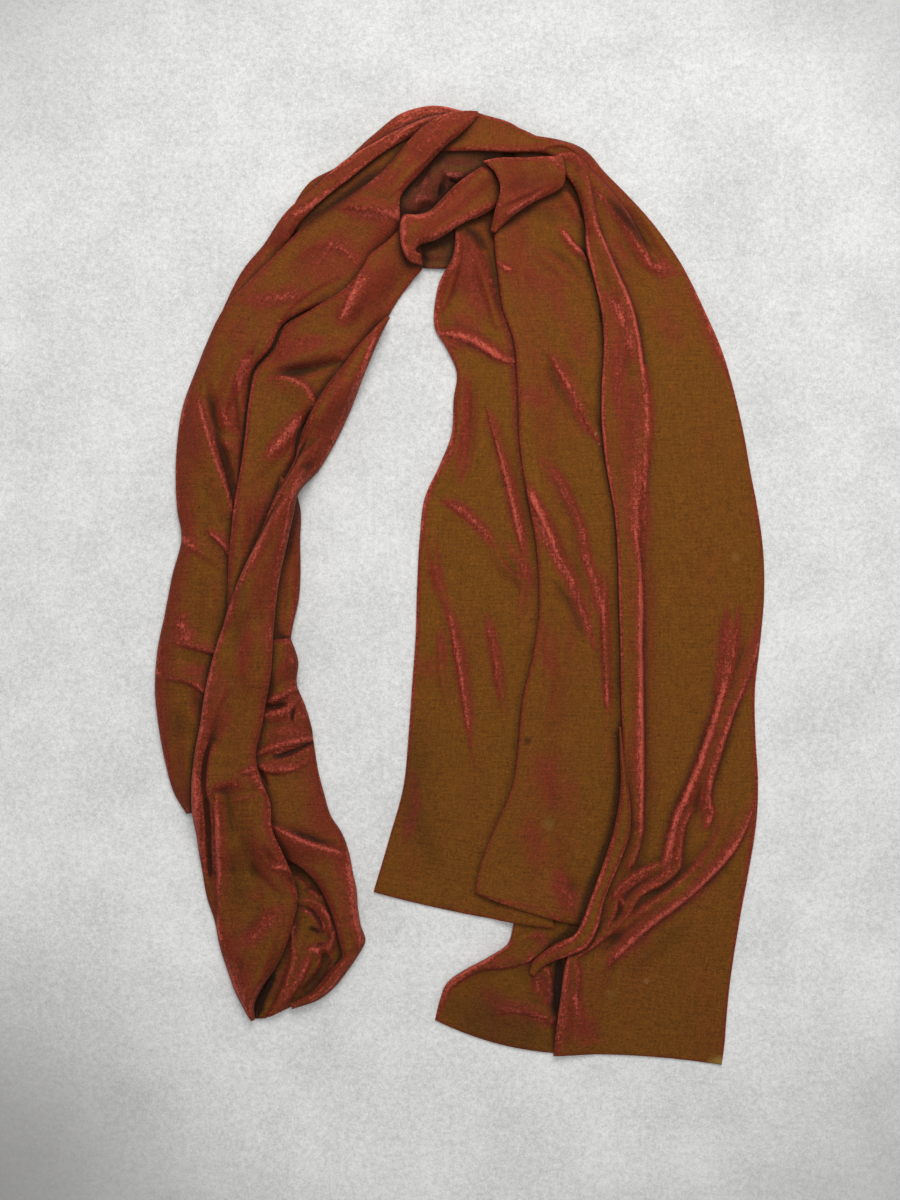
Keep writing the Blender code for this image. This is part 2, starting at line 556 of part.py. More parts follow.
stretch("run_return", 10, 30, (
    (-137, -38, -117, -36, 4, 4, 5, 0),
    (-140, -54, -112.3, -52, 4, 4, 6, 0),
    (-142, -68, -113.5, -68, 4, 4, 6, 0),
    (-146, -84, -108, -83, 4, 5, 6, 0),
    (-148, -99, -103.6, -98, 4, 5, 6, 0),
    (-150, -114, -101.4, -113, 4, 5, 6, 0),
    (-150, -128, -98.8, -129, 4, 5, 6, 0),
    (-144, -144, -94.6, -145, 4, 6, 7, 0),
    (-140, -160, -90, -160, 4, 7, 8, 0),
    (-133, -174, -82, -173, 4, 8, 8, 0),
    (-124, -187, -77, -187, 5, 8, 8, 0),
    (-110, -196, -74.5, -200, 7, 8, 8, 0),
    (-99.5, -207, -72, -211, 8, 9, 8, 0),
    (-92.5, -220, -71, -224, 8, 9, 8, 0),
    (-87.5, -233, -69, -236, 8, 9, 8, 0),
    (-84, -247, -66, -248, 7, 8, 8, 0),
    (-82, -258, -72, -259, 6, 7, 7, 0),
    (-88, -265, -79, -269, 5, 6, 6, 0),
    (-94.5, -273, -86, -278, 5, 6, 6, 0),
    (-102, -281.5, -96.5, -287, 5, 5, 6, 0),
    (-118, -290.5, -117, -294.5, 4, 4, 4, 0),
), (
    (-130, -79, -122, -76, -114, -72, 5, 7, 4, 5, 0.3),
    (-134, -88, -124, -87, -117, -80, 5, 7, 5, 5, 0.3),
    (-134, -83, -126, -82, -120, -82, -2, -3, -1, 4, 0.0),
    (-138, -116, -122, -110, -102, -107, 5, 7, 5, 7, 0.3),
    (-140, -122, -126, -128, -108, -124, 5, 6, 4, 6, -0.3),
    (-128, -168, -108, -178, -84, -185, 5, 6, 3, 9, -0.3),
    (-76, -196, -75, -218, -71, -244, 3, 4, 4, 7, 0.0),
), over=("hidden_leg", "run_inner", "bight_inner"))

stretch("run_front", 11, 46, (
    (-51, 187.5, -48.5, 186.5, 3, 3, 4, 0),
    (-60.5, 177, -55.5, 172, 4, 5, 6, 0),
    (-71.5, 164.5, -60.5, 160, 5, 6, 7, 0),
    (-81, 152, -65.5, 148, 5, 7, 8, 0),
    (-91.5, 139, -72, 132, 5, 8, 8, 0),
    (-102, 121, -80, 114, 5, 8, 8, 0),
    (-110.5, 103.5, -88, 98, 5, 8, 8, 0),
    (-115.5, 84, -98, 81, 6, 8, 8, 0),
    (-126, 63, -111, 63, 6, 8, 8, 0),
    (-133, 47, -114.7, 47, 7, 8, 8, 0),
    (-140, 30, -118.7, 30, 7, 8, 8, 0),
    (-148, 13, -123, 13, 7, 8, 8, 0),
    (-155, -4, -126, -4, 7, 8, 8, 0),
    (-161.5, -23, -128, -23, 7, 8, 8, 0),
    (-168, -43, -128.5, -43, 7, 8, 8, 0),
    (-173, -62, -130, -62, 7, 8, 8, 0),
    (-176.5, -80, -133.5, -80, 7, 8, 7, 0),
    (-179.5, -98, -136.7, -98, 7, 8, 7, 0),
    (-183, -117, -140.5, -117, 7, 8, 7, 0),
    (-185, -134, -137, -133.5, 7, 8, 7, 0),
    (-185.5, -150, -131, -149, 7, 8, 7, 0),
    (-184.5, -167, -129.5, -167, 7, 8, 7, 0),
    (-182.3, -184, -122.5, -184, 7, 8, 7, 0),
    (-179.7, -201, -116.5, -201, 7, 8, 7, 0),
    (-177, -217, -113, -217, 7, 8, 7, 0),
    (-171.5, -234, -116, -234, 7, 9, 8, 0),
    (-168, -251, -121, -250, 8, 10, 8, 0),
    (-163, -267, -128.5, -266, 8, 10, 8, 0),
    (-157, -283, -138, -280, 8, 9, 7, 0),
    (-150.5, -295, -143.2, -292, 6, 7, 6, 0),
    (-145.5, -303, -142.7, -302, 5, 5, 5, 0),
), (
    (-131, 50, -145, 20, -158, -12, 4, 5, 3, 4, 0.3),
    (-108, 98, -116, 82, -124, 66, 3, 4, 2, 4, 0.2),
    (-160, -30, -171, -62, -178, -96, 3, 4, 4, 9, -0.2),
    (-178, -96, -182, -130, -181, -200, 4, 4, 2, 5, 0.2),
    (-163, -90, -175, -120, -174, -156, -3, -6, -6, 5, 0.2),
    (-174, -156, -173, -180, -175, -206, -6, -6, -3, 5, 0.2),
    (-148, -40, -152, -84, -158, -134, 2, 3, 4, 12, 0.2),
    (-172, -144, -158, -136, -140, -140, 3, 4, 4, 8, 0.3),
    (-168, -142, -156, -141, -146, -144, -3, -3, -1, 5, 0.0),
    (-168, -150, -167, -190, -169, -240, 4, 5, 3, 6, 0.3),
    (-136, -176, -130, -190, -122, -196, 1, 3, 4, 7, 0.2),
    (-165, -254, -146, -248, -124, -224, 3, 5, 3, 8, 0.2),
    (-140, -290, -130, -258, -120, -236, 2, 4, 3, 8, 0.0),
), over=("hidden_leg", "run_outer", "run_middle", "run_inner", "bight_inner", "run_return"))

# The twist at the top of the arch.

stretch("twist_strap", 9, 14, (
    (-39.5, 256, -38.5, 228, 7, 7, 7, 0),
    (-32, 255.3, -31, 226, 7, 8, 7, 0),
    (-23, 258, -22, 236, 8, 9, 8, 0),
    (-14, 267.5, -11, 242, 8, 10, 8, 0),
    (-4, 277, 0, 246.5, 8, 10, 8, 0),
    (7, 284.5, 12, 253, 8, 10, 7, 0),
    (17, 290, 24, 262, 6, 8, 6, 0),
    (25, 292, 33, 268, 4, 5, 4, 0),
), (
    (-36, 252, -24, 256, -6, 272, 2, 3, 2, 5, 0.0),
    (-20, 240, 0, 250, 20, 262, 2, 3, 2, 6, 0.0),
), over=("hidden_arch", "twist_inner", "twist_under", "run_outer", "run_middle",
         "tail_short_lower", "tail_short_upper"), rim=5)

stretch("twist_cuff", 9, 10, (
    (21, 246, 24, 244.5, 3, 4, 3, 0),
    (24, 259, 38, 255, 5, 5, 4, 0),
    (27.5, 273, 51, 264.5, 6, 6, 4, 0),
    (24, 283, 66, 278, 6, 6, 5, 0),
    (17.5, 291.5, 62, 296, 6, 6, 5, 3),
), (
    (30, 254, 46, 266, 62, 278, 2, 3, 2, 6, 0.2),
), over=("hidden_arch", "twist_strap", "tail_short_upper", "tail_long", "twist_inner"), rim=4)
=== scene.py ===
"""Silk velvet scarf laid down in an arch: the looks of every stretch of cloth.

The tables are in millimetres, +X to the right, +Y from the ends of the tails towards the
arch and +Z up from the surface it lies on, as in the part's own source.
"""

import bmesh
import bpy
import numpy as np
from mathutils import Matrix, Vector


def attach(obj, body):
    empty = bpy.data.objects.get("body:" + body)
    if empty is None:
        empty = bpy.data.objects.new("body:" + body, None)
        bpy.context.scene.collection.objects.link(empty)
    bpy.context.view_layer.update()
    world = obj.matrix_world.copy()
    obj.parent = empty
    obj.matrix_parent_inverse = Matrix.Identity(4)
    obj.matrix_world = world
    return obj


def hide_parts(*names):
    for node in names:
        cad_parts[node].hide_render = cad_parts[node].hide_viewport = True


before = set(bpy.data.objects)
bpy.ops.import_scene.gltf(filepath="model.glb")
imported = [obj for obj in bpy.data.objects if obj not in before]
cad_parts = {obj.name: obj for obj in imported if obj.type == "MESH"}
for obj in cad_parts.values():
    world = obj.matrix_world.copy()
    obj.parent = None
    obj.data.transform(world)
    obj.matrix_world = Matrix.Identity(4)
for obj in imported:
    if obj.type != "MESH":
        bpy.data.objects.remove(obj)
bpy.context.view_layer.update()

# Hidden layers. Most of the cloth lies gathered under the arch and under the left leg, where
# it lifts what is seen. It is the same doubled velvet, turned and pressed along its edges.
MM = 0.001
HIDDEN_RIM = 12       # how far in from their edges the hidden layers are rounded


def through(at, values, wanted):
    """Smooth curve through the values given at increasing stations."""
    slopes = np.gradient(values, at, axis=0)
    first = np.clip(np.searchsorted(at, wanted, side="right") - 1, 0, len(at) - 2)
    step = at[first + 1] - at[first]
    s = ((wanted - at[first]) / step)[:, None]
    step = step[:, None]
    return ((2 * s ** 3 - 3 * s ** 2 + 1) * values[first]
            + (s ** 3 - 2 * s ** 2 + s) * step * slopes[first]
            + (3 * s ** 2 - 2 * s ** 3) * values[first + 1]
            + (s ** 3 - s ** 2) * step * slopes[first + 1])


FOLD_STEPS = 20       # points along the crest of a fold


def crests(x, y, folds):
    """Height that the folds add at each point: crests blended, troughs taken away."""
    rise = np.zeros(x.shape)
    fall = np.zeros(x.shape)
    t = np.linspace(0.0, 1.0, FOLD_STEPS)
    for x0, y0, x1, y1, x2, y2, h0, h1, h2, wide_left, wide_right in folds:
        # the curve passes through its middle point
        bend = 2 * np.array((x1, y1)) - (np.array((x0, y0)) + np.array((x2, y2))) / 2
        line = (np.outer((1 - t) ** 2, (x0, y0)) + np.outer(2 * t * (1 - t), bend)
                + np.outer(t ** 2, (x2, y2)))
        reach = max(wide_left, wide_right)
        low, high = line.min(axis=0) - reach, line.max(axis=0) + reach
        close = (x > low[0]) & (x < high[0]) & (y > low[1]) & (y < high[1])
        if not close.any():
            continue
        points = np.stack((x[close], y[close]), axis=1)
        way = np.diff(line, axis=0)
        away = points[:, None, :] - line[None, :-1, :]
        along = np.clip((away * way[None]).sum(axis=2) / (way ** 2).sum(axis=1), 0.0, 1.0)
        off = away - along[..., None] * way[None]
        distance = np.hypot(off[..., 0], off[..., 1])
        near = distance.argmin(axis=1)
        pick = (np.arange(len(points)), near)
        side = np.sign(way[near, 0] * off[pick][:, 1] - way[near, 1] * off[pick][:, 0])
        place = (near + along[pick]) / (FOLD_STEPS - 1)
        far = np.where(place < 0.5, h0, h2)
        height = far + (h1 - far) * np.sin(np.minimum(place, 1 - place) * np.pi)
        narrow = 0.6 + 0.4 * np.clip(height / h1, 0, 1)
        wide = np.where(side > 0, wide_left, wide_right) * narrow
        shape = height * (1 - np.minimum(distance[pick] / wide, 1.0) ** 2) ** 2
        rise[close] += np.maximum(shape, 0.0) ** 3
        fall[close] = np.maximum(fall[close], -shape)
    return np.cbrt(rise) - fall


def uneven(x, y, size, seed):
    """Soft random heights between about -1 and 1, as large as size."""
    draws = np.random.RandomState(seed).uniform(-1.0, 1.0, (64, 64))
    total = np.zeros(x.shape)
    for part, share in ((1.0, 0.7), (0.43, 0.3)):
        across = (x / (size * part)) % 63.0
        along = (y / (size * part)) % 63.0
        column, row = across.astype(int), along.astype(int)
        s, t = across - column, along - row
        s, t = s * s * (3 - 2 * s), t * t * (3 - 2 * t)
        total += share * ((draws[row, column] * (1 - s) + draws[row, column + 1] * s) * (1 - t)
                          + (draws[row + 1, column] * (1 - s) + draws[row + 1, column + 1] * s) * t)
    return total


MAP_LEFT, MAP_LOW = -240.0, -360.0
MAP_COLUMNS, MAP_ROWS = 480, 720      # cells of 1 mm
tops = {}             # how high each stretch reaches in each cell


def cells(x, y):
    """Row and column of the height map under each point."""
    return (np.clip((y - MAP_LOW).astype(int), 0, MAP_ROWS - 1),
            np.clip((x - MAP_LEFT).astype(int), 0, MAP_COLUMNS - 1))


def sampled(grid, x, y):
    """The height map read between its cells."""
    across = np.clip(x - MAP_LEFT - 0.5, 0, MAP_COLUMNS - 2)
    along = np.clip(y - MAP_LOW - 0.5, 0, MAP_ROWS - 2)
    column, row = across.astype(int), along.astype(int)
    s, t = across - column, along - row
    return ((grid[row, column] * (1 - s) + grid[row, column + 1] * s) * (1 - t)
            + (grid[row + 1, column] * (1 - s) + grid[row + 1, column + 1] * s) * t)


def spread(grid, reach, pick):
    """Largest or mean value within reach of each point, one way and then the other."""
    for axis in (0, 1):
        sides = [(reach, reach) if a == axis else (0, 0) for a in (0, 1)]
        padded = np.pad(grid, sides, mode="edge")
        grid = pick([np.take(padded, range(k, k + grid.shape[axis]), axis=axis)
                     for k in range(2 * reach + 1)], axis=0)
    return grid


def twice(array):
    """The same grid of values with one more put in between each two."""
    wide = np.empty((array.shape[0], 2 * array.shape[1] - 1))
    wide[:, 0::2] = array
    wide[:, 1::2] = (array[:, 1:] + array[:, :-1]) / 2
    tall = np.empty((2 * wide.shape[0] - 1, wide.shape[1]))
    tall[0::2] = wide
    tall[1::2] = (wide[1:] + wide[:-1]) / 2
    return tall


RIM_POINTS = (0.0, 0.06, 0.22, 0.48, 0.74)    # points across a rounded rim, as shares of it


def spaced(count, length, rim):
    """Distances from 0 to length, closer together within rim of both ends."""
    ends = rim * np.array(RIM_POINTS)
    inner = np.linspace(rim, length - rim, count - 2 * len(ends))
    return np.concatenate((ends, inner, length - ends[::-1]))


MARK_ENDS = 5         # a mark has its full width and strength a fifth of the way in


def marks(x, y, pressed, sign):
    """How strongly the pile is pressed at each point, or with sign -1 how strong the painted shade is.
    """
    total = np.zeros(x.shape)
    for half, strength, *line in pressed:
        points = np.array(line, float).reshape(-1, 2)
        lengths = np.hypot(*np.diff(points, axis=0).T)
        away, part, before = np.full(x.shape, np.inf), np.zeros(x.shape), 0.0
        for (x0, y0), (x1, y1), length in zip(points[:-1], points[1:], lengths):
            t = np.clip(((x - x0) * (x1 - x0) + (y - y0) * (y1 - y0)) / length ** 2, 0, 1)
            off = np.hypot(x - x0 - t * (x1 - x0), y - y0 - t * (y1 - y0))
            part = np.where(off < away, (before + t * length) / lengths.sum(), part)
            away = np.minimum(away, off)
            before += length
        # each mark is narrower and fainter towards its ends
        full = np.clip(MARK_ENDS * np.minimum(part, 1 - part), 0, 1)
        total = np.maximum(total, sign * strength * (0.55 + 0.45 * full)
                           * np.exp(-(away / (half * (0.5 + 0.5 * full))) ** 2))
    return total


WALL = 2.4            # two layers of velvet, pile included
REST_GAP = 0.5        # between a stretch and what it lies on
SLACK = 0.6           # air that the two layers hold before they lift off what they lie on
RIM = 3.6             # how far in from its edge a folded edge is rounded
RIM_WIDE, RIM_LONG = 0.42, 0.3        # and the most that it takes of the width and the length
CROWN = 4.0           # how flat a stretch stays before it turns down to its edges
STEP = 1.44           # spacing of the points of a stretch
FEWEST = 4            # points between its rims at least
REACH = 8             # how far around a lower stretch the one above it is held up
EASE = 7              # how far that support is smoothed
HOLLOW_FROM, HOLLOW_OVER = 0.8, 1.6   # where the lower layer lifts off, in rims from the edge
RIPPLE = 0.90         # height of the soft unevenness of cloth that lies flat
RIPPLE_SIZE = 34.0    # its size along the cloth
RIPPLE_PLACE = 900    # where on its pattern the scarf lies
RELIEF_REACH = (5, 4)                 # points around each one that its height is held against
BEND_REACH = 2        # and for its sharpest bends
CREST_HIGH, CREST_SHARP, CREST_LEAST = 4.0, 0.5, 0.2  # height and sharpness of a full crest
TROUGH_DEEP = 2.8     # depth of a full trough
INSIDE = 0.99999      # what counts as inside the outline of a grid from -1 to 1
MERGE = 1e-5          # doubles along that outline


def stretch(name, finish, sections, folds=(), pressed=(), over=(), rim=RIM, crown=CROWN,
            hollow=True):
    """One stretch of the scarf: a closed wall through its sections, laid on what is below.

    A section: left x, left y, right x, right y, thickness over what lies below at the left
    edge, in the middle and at the right edge, and how far it bows forward, if it does.
    A fold: start x, y, middle x, y, end x, y, height at each, and how wide the fold is on the
    left and on the right of the way it runs. A trough has heights below 0.
    A mark of pressed pile, red or pinkish, partly a painted sheen and highlight: half its width, its
    strength, then the points x, y along its middle. A strength below 0 paints deep shade instead.
    """
    sections = np.array([(*section, 0)[:8] for section in sections], float)
    centre = (sections[:, 0:2] + sections[:, 2:4]) / 2
    at = np.concatenate(([0.0], np.cumsum(np.hypot(*np.diff(centre, axis=0).T))))
    wide = np.hypot(*(sections[:, 2:4] - sections[:, 0:2]).T)
    across, along = (2 * len(RIM_POINTS) + max(FEWEST, round(size / STEP))
                     for size in (wide.max(), at[-1]))
    end = min(rim, RIM_LONG * at[-1])
    run = spaced(along, at[-1], end)
    lines = through(at, sections, run)
    left, right = lines[:, 0:2], lines[:, 2:4]
    width = np.hypot(*(right - left).T)
    edge = np.minimum(rim, RIM_WIDE * width)
    off = np.array([spaced(across, w, e) for w, e in zip(width, edge)])
    u = off / width[:, None]
    # the section bows along the run of the stretch
    ahead = np.gradient((left + right) / 2, axis=0)
    ahead /= np.hypot(*ahead.T)[:, None]
    x, y = (left[:, k, None] + (right - left)[:, k, None] * u
            + (ahead[:, k] * lines[:, 7])[:, None] * (4 * u * (1 - u)) for k in (0, 1))
    sides = np.where(u < 0.5, lines[:, 4:5], lines[:, 6:7])
    thick = lines[:, 5:6] + (sides - lines[:, 5:6]) * np.abs(2 * u - 1) ** crown
    thick += crests(x, y, folds)
    thick += RIPPLE * uneven(x + RIPPLE_PLACE, y + RIPPLE_PLACE, RIPPLE_SIZE, len(tops))
    thick = np.maximum(thick, WALL)

    row, column = cells(*(twice(twice(value)) for value in (x, y)))
    below = np.full((MAP_ROWS, MAP_COLUMNS), -1.0)
    below[row, column] = 0.0
    own = below == 0.0
    for lower in over:
        below = np.where(own, np.maximum(below, tops[lower]), below)
    below = np.maximum(below, 0.0)
    held_up = spread(spread(spread(below, REACH, np.max), EASE, np.mean), EASE // 2, np.mean)
    held_up = np.maximum(held_up, spread(below, 1, np.max))
    support = sampled(held_up, x, y)
    support += REST_GAP * np.clip(support, 0.0, 1.0)

    # distance to the nearest edge, as a share of the rim
    ends = np.minimum(run, run[-1] - run)[:, None] / end
    near = np.minimum(np.minimum(off, width[:, None] - off) / edge[:, None], ends)
    rounding = np.sqrt(np.clip(1 - (1 - np.clip(near, 0, 1)) ** 2, 0, 1))
    inside = np.clip((near - HOLLOW_FROM) / HOLLOW_OVER, 0, 1)
    inside = inside * inside * (3 - 2 * inside)
    under = support + np.maximum(thick - WALL - SLACK, 0.0) * inside * hollow
    upper = support + thick
    half = (upper - under) / 2 * rounding
    bottom = (under + upper) / 2 - half
    top = (under + upper) / 2 + half

    best = np.full((MAP_ROWS, MAP_COLUMNS), -1.0)
    np.maximum.at(best, (row, column), twice(twice(top)))
    tops[name] = best

    # how steep the cloth is, how sharp its crests are and how deep its troughs, each 0 to 1
    dx, dy, dz = (np.stack(np.gradient(value)) for value in (x, y, top))
    face = np.stack((dy[0] * dz[1] - dz[0] * dy[1], dz[0] * dx[1] - dx[0] * dz[1],
                     dx[0] * dy[1] - dy[0] * dx[1]))
    face /= np.sqrt((face ** 2).sum(axis=0))
    face *= np.sign(face[2])
    steep = np.sqrt(np.clip(1 - face[2] ** 2, 0, 1))
    relief = top - spread(spread(top, RELIEF_REACH[0], np.mean), RELIEF_REACH[1], np.mean)
    sharp = top - spread(top, BEND_REACH, np.mean)
    crest = np.clip(np.maximum(relief / CREST_HIGH, sharp / CREST_SHARP - CREST_LEAST), 0, 1)
    trough = np.clip(-relief / TROUGH_DEEP, 0, 1)

    # two grids that share their outline, one for each side of the wall
    mesh = bmesh.new()
    for level in (1.0, -1.0):
        made = bmesh.ops.create_grid(mesh, x_segments=across - 1, y_segments=along - 1, size=1.0)
        for vert in made["verts"]:
            vert.co.z = level * (max(abs(vert.co.x), abs(vert.co.y)) < INSIDE)
    bmesh.ops.remove_doubles(mesh, verts=mesh.verts, dist=MERGE)
    bmesh.ops.recalc_face_normals(mesh, faces=mesh.faces)
    data = bpy.data.meshes.new("cloth_" + name)
    mesh.to_mesh(data)
    mesh.free()
    place = np.empty(3 * len(data.vertices))
    data.vertices.foreach_get("co", place)
    place = place.reshape(-1, 3)
    j = np.rint((place[:, 0] + 1) / 2 * (across - 1)).astype(int)
    i = np.rint((place[:, 1] + 1) / 2 * (along - 1)).astype(int)
    height = np.where(place[:, 2] >= 0, top[i, j], bottom[i, j])
    places = np.stack((x[i, j], y[i, j], height), axis=1) * MM
    data.vertices.foreach_set("co", places.ravel())
    for fact, values in (("cloth", (off, np.broadcast_to(run[:, None], x.shape), near)),
                         ("form", (steep, crest, trough)),
                         ("marks_with_painted_shade", (*(marks(x, y, pressed, sign) for sign in (1, -1)), near))):
        layer = data.attributes.new(fact, "FLOAT_VECTOR", "POINT")
        layer.data.foreach_set("vector", np.stack([v[i, j] for v in values], axis=1).ravel())
    data.update()
    data.shade_smooth()
    data.materials.append(finish)
    piece = bpy.data.objects.new("cloth_" + name, data)
    bpy.context.scene.collection.objects.link(piece)
    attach(piece, "root")
    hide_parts(name)


def fill(tree, socket, value):
    """Links a socket to another one, or sets it."""
    if isinstance(value, bpy.types.NodeSocket):
        tree.links.new(value, socket)
    else:
        socket.default_value = value


def node(tree, kind, values, out=0, **settings):
    """Adds a node with its sockets filled, and returns one of its outputs."""
    made = tree.nodes.new("ShaderNode" + kind)
    for setting, value in settings.items():
        setattr(made, setting, value)
    for socket, value in values.items():
        fill(tree, made.inputs[socket], value)
    return made.outputs[out]


def home(*values):
    """The tree of nodes that the first socket among the values belongs to."""
    return next(value.id_data for value in values if isinstance(value, bpy.types.NodeSocket))


def maths(operation, *values):
    return node(home(*values), "Math", dict(enumerate(values)), operation=operation)


def times(first, second):
    return maths("MULTIPLY", first, second)


def plus(total, value, weight):
    """The total with the value added at its weight."""
    return maths("MULTIPLY_ADD", value, weight, total)


def eased(value, low, high):
    """0 below low, 1 above high, and a soft step between them."""
    return node(home(value), "MapRange", {0: value, 1: low, 2: high},
                interpolation_type="SMOOTHSTEP")


def mixed(share, first, second):
    """The first colour, with its share of the second."""
    return node(home(share, first, second), "Mix", {0: share, 6: first, 7: second}, out=2,
                data_type="RGBA")


def vector(operation, first, second, out=0):
    return node(home(first), "VectorMath", {0: first, 1: second}, out=out, operation=operation)


def noise(place, scale, detail, roughness, distortion=0.0):
    return node(home(place), "TexNoise", {"Vector": place, "Scale": scale, "Detail": detail,
                                          "Roughness": roughness, "Distortion": distortion})


def apart(facts):
    """The three values that a vector carries."""
    made = facts.id_data.nodes.new("ShaderNodeSeparateXYZ")
    fill(facts.id_data, made.inputs[0], facts)
    return made.outputs


LINT = (0.40, 0.20, 0.11, 1.0)        # bits of thread that cling to the pile
# Spots in the cloth: place x, y, half size, strength and colour.
SPOTS = (
    (62, -166, 6, 0.35, (0.15, 0.10, 0.02)), (105, -285, 5, 0.25, (0.14, 0.09, 0.02)),
    (47, -108, 3.6, 0.65, (0.030, 0.009, 0.003)), (192.5, 20, 4.5, 0.25, (0.24, 0.14, 0.04)),
    (94.5, 106, 1.5, 0.5, (0.34, 0.16, 0.08)), (97, 99, 1.4, 0.4, (0.34, 0.16, 0.08)),
    (130, -276, 2.6, 0.4, (0.30, 0.13, 0.06)), (181, -333, 6, 0.8, (0.24, 0.15, 0.03)),
    (176, -334, 5, 0.6, (0.22, 0.13, 0.03)))

# The colours of a changeant velvet: olive brown pile tips where the cloth lies flat, and red on its
# slopes, a painted sheen of the shot cloth as it is seen from straight above. Crushed pile and
# painted highlights along the folds and edges are pinkish.
changeant = bpy.data.node_groups.new("changeant_velvet", "ShaderNodeTree")
for side, sockets in (
        ("INPUT", (("Cloth", "Vector"), ("Form", "Vector"), ("Marks With Painted Shade", "Vector"), ("Place", "Vector"),
                   ("Shade", "Float"), ("Flat", "Color"), ("Slope", "Color"),
                   ("Crushed And Highlight", "Color"), ("Painted Shade", "Color"))),
        ("OUTPUT", (("Color", "Color"), ("Roughness", "Float"), ("Height", "Float")))):
    for socket, kind in sockets:
        changeant.interface.new_socket(socket, in_out=side, socket_type="NodeSocket" + kind)
given = changeant.nodes.new("NodeGroupInput").outputs
result = changeant.nodes.new("NodeGroupOutput").inputs
steep, crest, trough = apart(given["Form"])
pressed_and_sheen_marks, painted_shade_marks, _ = apart(given["Marks With Painted Shade"])
x_place, y_place, _ = apart(given["Place"])
edge = eased(apart(given["Cloth"])[2], 0.6, 0.1)
# wide soft patches, streaks of pile laid along the cloth, crushed flecks and single tufts
patch = noise(vector("MULTIPLY", given["Place"], (32.0, 14.0, 0.0)), scale=1.0, detail=3.0,
              roughness=0.5, distortion=0.5)
streak = noise(vector("MULTIPLY", given["Cloth"], (0.55, 0.10, 1.0)), scale=1.0, detail=4.0,
               roughness=0.65)
fleck = noise(given["Place"], scale=620.0, detail=3.0, roughness=0.7, distortion=0.8)
pile = noise(given["Place"], scale=1500.0, detail=2.0, roughness=0.6)
# painted sheen: the steeper the cloth and the sharper its crests, the redder it turns
bend = plus(times(steep, 0.85), crest, 0.25)
# pressed pile, partly a painted sheen and highlight, shows in streaks that break up towards their edges
pressed = times(pressed_and_sheen_marks, plus(0.20, streak, 1.7))
# the cloth turns redder over the arch, less so over the twist, and a little towards the top and on the
# left leg
arch = times(eased(y_place, 0.10, 0.32), eased(x_place, 0.10, -0.02))
high = eased(y_place, 0.02, 0.24)
leg = eased(x_place, -0.03, -0.12)
turn = bend
for value, weight in ((patch, 0.9), (streak, 0.3), (arch, 0.12), (high, 0.08), (leg, 0.02),
                      (maths("POWER", pressed, 0.6), 0.62)):
    turn = plus(turn, value, weight)
red = eased(turn, 0.55, 1.43)
# crushed pile and painted highlights: pinkish along crests, edges and slopes, and in flecks
crush_and_highlight = times(steep, 0.35)
for value, weight in ((crest, 0.68), (edge, 0.35), (fleck, 2.6),
                      (maths("POWER", pressed, 1.6), 0.72)):
    crush_and_highlight = plus(crush_and_highlight, value, weight)
crush_and_highlight_share = eased(crush_and_highlight, 1.85, 2.95)
colour = mixed(red, given["Flat"], given["Slope"])
colour = mixed(crush_and_highlight_share, colour, given["Crushed And Highlight"])
# painted shade: darkest in the troughs, under a higher layer and where a mark says so
painted_shade = times(eased(trough, 0.04, 0.8), plus(0.85, edge, -0.55))
for value in (given["Shade"], times(painted_shade_marks, plus(0.55, streak, 0.5))):
    painted_shade = maths("MAXIMUM", painted_shade, value)
colour = mixed(painted_shade, colour, given["Painted Shade"])
# the rib and the threads of the weave show through as fine lines across the cloth
thread = noise(vector("MULTIPLY", given["Cloth"], (0.07, 0.80, 0.0)), scale=1.0, detail=3.0,
               roughness=0.7)
across = vector("MULTIPLY", given["Cloth"], (0.35, 1.0, 0.0))
rib = node(changeant, "TexWave", {"Vector": across, "Scale": 0.33, "Distortion": 2.2,
                                  "Detail": 2.0, "Detail Scale": 1.6}, out=1,
           bands_direction="Y")
# painted light: the cloth is lit more towards the arch and darker towards the tails; it is also a
# little darker on the left leg
painted_light = node(changeant, "MapRange", {0: y_place, 1: -0.30, 2: 0.30, 3: 0.80, 4: 1.02})
shade = plus(plus(painted_light, rib, 0.18), leg, -0.07)
for value, weight in ((thread, 0.9), (fleck, 1.5), (streak, 0.7), (pile, 1.3)):
    shade = plus(shade, maths("SUBTRACT", value, 0.5), weight)
colour = node(changeant, "VectorMath", {0: colour, "Scale": shade}, operation="SCALE")
colour = mixed(times(eased(pile, 0.66, 0.76), 0.30), colour, LINT)
# a few faded and dark spots, bits of thread and one worn corner
plan = vector("MULTIPLY", given["Place"], (1.0, 1.0, 0.0))
for x, y, size, share, tone in SPOTS:
    away = vector("DISTANCE", plan, (x * MM, y * MM, 0.0), out=1)
    away = plus(away, fleck, -0.8 * size * MM)
    there = times(eased(away, 0.7 * size * MM, -0.2 * size * MM), share)
    colour = mixed(there, colour, (*tone, 1.0))
relief = plus(times(rib, 0.14), fleck, plus(0.25, bend, 0.8))
for value, weight in ((streak, 0.5), (pile, 0.2)):
    relief = plus(relief, value, weight)
for socket, value in (("Color", colour), ("Roughness", plus(0.86, red, -0.10)),
                      ("Height", relief)):
    changeant.links.new(value, result[socket])


